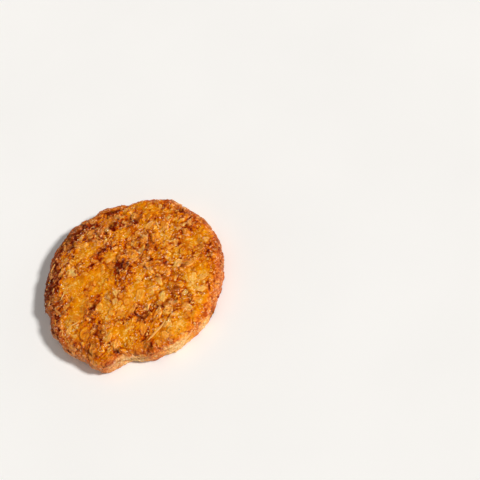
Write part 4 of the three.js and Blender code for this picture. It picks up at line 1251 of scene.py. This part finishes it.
# ------------------------------------------------------------------ pieces
mat_dough = dough_material()
bv, bq, bt, batt = body_mesh()
body = make_object("cookie_body", bv, bq, bt, batt, mat_dough)
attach(body, "root")
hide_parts("cookie")
for bits, name, material in (
    (flakes, "oat_flakes", oat_material("rolled_oat")),
    (chips, "oat_chips", oat_material("oat_chip", (0.2, 0.42))),
    (husks, "bran_husks", husk_material()),
    (sugar, "sugar_and_glint_grains", sugar_and_glint_material()),
):
    ob = bits.build(name, material)
    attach(ob, "root")

# ------------------------------------------------------------------ floor, light, camera
scene = bpy.context.scene
scene.view_settings.view_transform = "Standard"
scene.view_settings.look = "None"
scene.view_settings.exposure = 0.0
scene.view_settings.gamma = 1.0


def floor_material():
    m = Nodes("pale_floor")
    col = m.ramp(m.noise(60.0, 2.0), [(0.3, (0.93, 0.93, 0.925, 1)), (0.7, (0.95, 0.95, 0.945, 1))])
    m.link(col, m.bsdf.inputs["Base Color"])
    m.bsdf.inputs["Roughness"].default_value = 0.85
    m.bsdf.inputs["Specular IOR Level"].default_value = 0.1
    return m.mat


seg = 96
ang = np.arange(seg) / seg * TAU
fv = np.vstack([[[0, 0, 0]], np.stack([4000 * np.cos(ang), 4000 * np.sin(ang), np.zeros(seg)], -1)])
ft = np.stack([np.zeros(seg, int), 1 + np.arange(seg), 1 + (np.arange(seg) + 1) % seg], -1)
floor = make_object("floor", fv, np.zeros((0, 4), int), ft, {}, floor_material())

world = bpy.data.worlds.new("studio")
scene.world = world
world.use_nodes = True
wt = world.node_tree
wt.nodes.clear()
w_out = wt.nodes.new("ShaderNodeOutputWorld")
w_bg = wt.nodes.new("ShaderNodeBackground")
w_co = wt.nodes.new("ShaderNodeTexCoord")
w_sep = wt.nodes.new("ShaderNodeSeparateXYZ")
w_ramp = wt.nodes.new("ShaderNodeValToRGB")
wt.links.new(w_co.outputs["Generated"], w_sep.inputs["Vector"])
wt.links.new(w_sep.outputs["Z"], w_ramp.inputs["Fac"])
wt.links.new(w_ramp.outputs["Color"], w_bg.inputs["Color"])
wt.links.new(w_bg.outputs["Background"], w_out.inputs["Surface"])
w_ramp.color_ramp.elements[0].position = 0.16
w_ramp.color_ramp.elements[0].color = (0.97, 0.965, 0.95, 1)
w_ramp.color_ramp.elements[1].position = 0.46
w_ramp.color_ramp.elements[1].color = (0.12, 0.115, 0.11, 1)
w_bg.inputs["Strength"].default_value = 1.0


def far_light(name, direction, width_deg, strength, colour=(1, 1, 1)):
    """A soft light from far off in a direction seen from the cookie; its width sets how soft the shadows are."""
    data = bpy.data.lights.new(name, "SUN")
    data.angle = math.radians(width_deg)
    data.energy = strength
    data.color = colour
    ob = bpy.data.objects.new(name, data)
    scene.collection.objects.link(ob)
    d = Vector(direction).normalized()
    ob.location = d * 0.8
    ob.rotation_euler = d.to_track_quat("Z", "Y").to_euler()
    return ob


key_dir = 0.55 * CAM_RIGHT + 0.27 * CAM_UP + 0.85 * CAM_BACK
far_light("key", key_dir, 9.0, 3.28, (1.0, 0.98, 0.95))
fill_dir = -0.4 * CAM_RIGHT + 0.5 * CAM_UP + 0.8 * CAM_BACK
far_light("fill", fill_dir, 70.0, 0.34, (1.0, 0.95, 0.88))

cam_data = bpy.data.cameras.new("camera")
cam_data.lens = LENS
cam_data.sensor_width = SENSOR
cam_data.clip_start = 0.01
cam_data.clip_end = 20.0
cam = bpy.data.objects.new("camera", cam_data)
scene.collection.objects.link(cam)
m = Matrix.Identity(4)
for i in range(3):
    m[i][0], m[i][1], m[i][2], m[i][3] = CAM_RIGHT[i], CAM_UP[i], CAM_BACK[i], CAM_POS[i] * MM
cam.matrix_world = m
scene.camera = cam
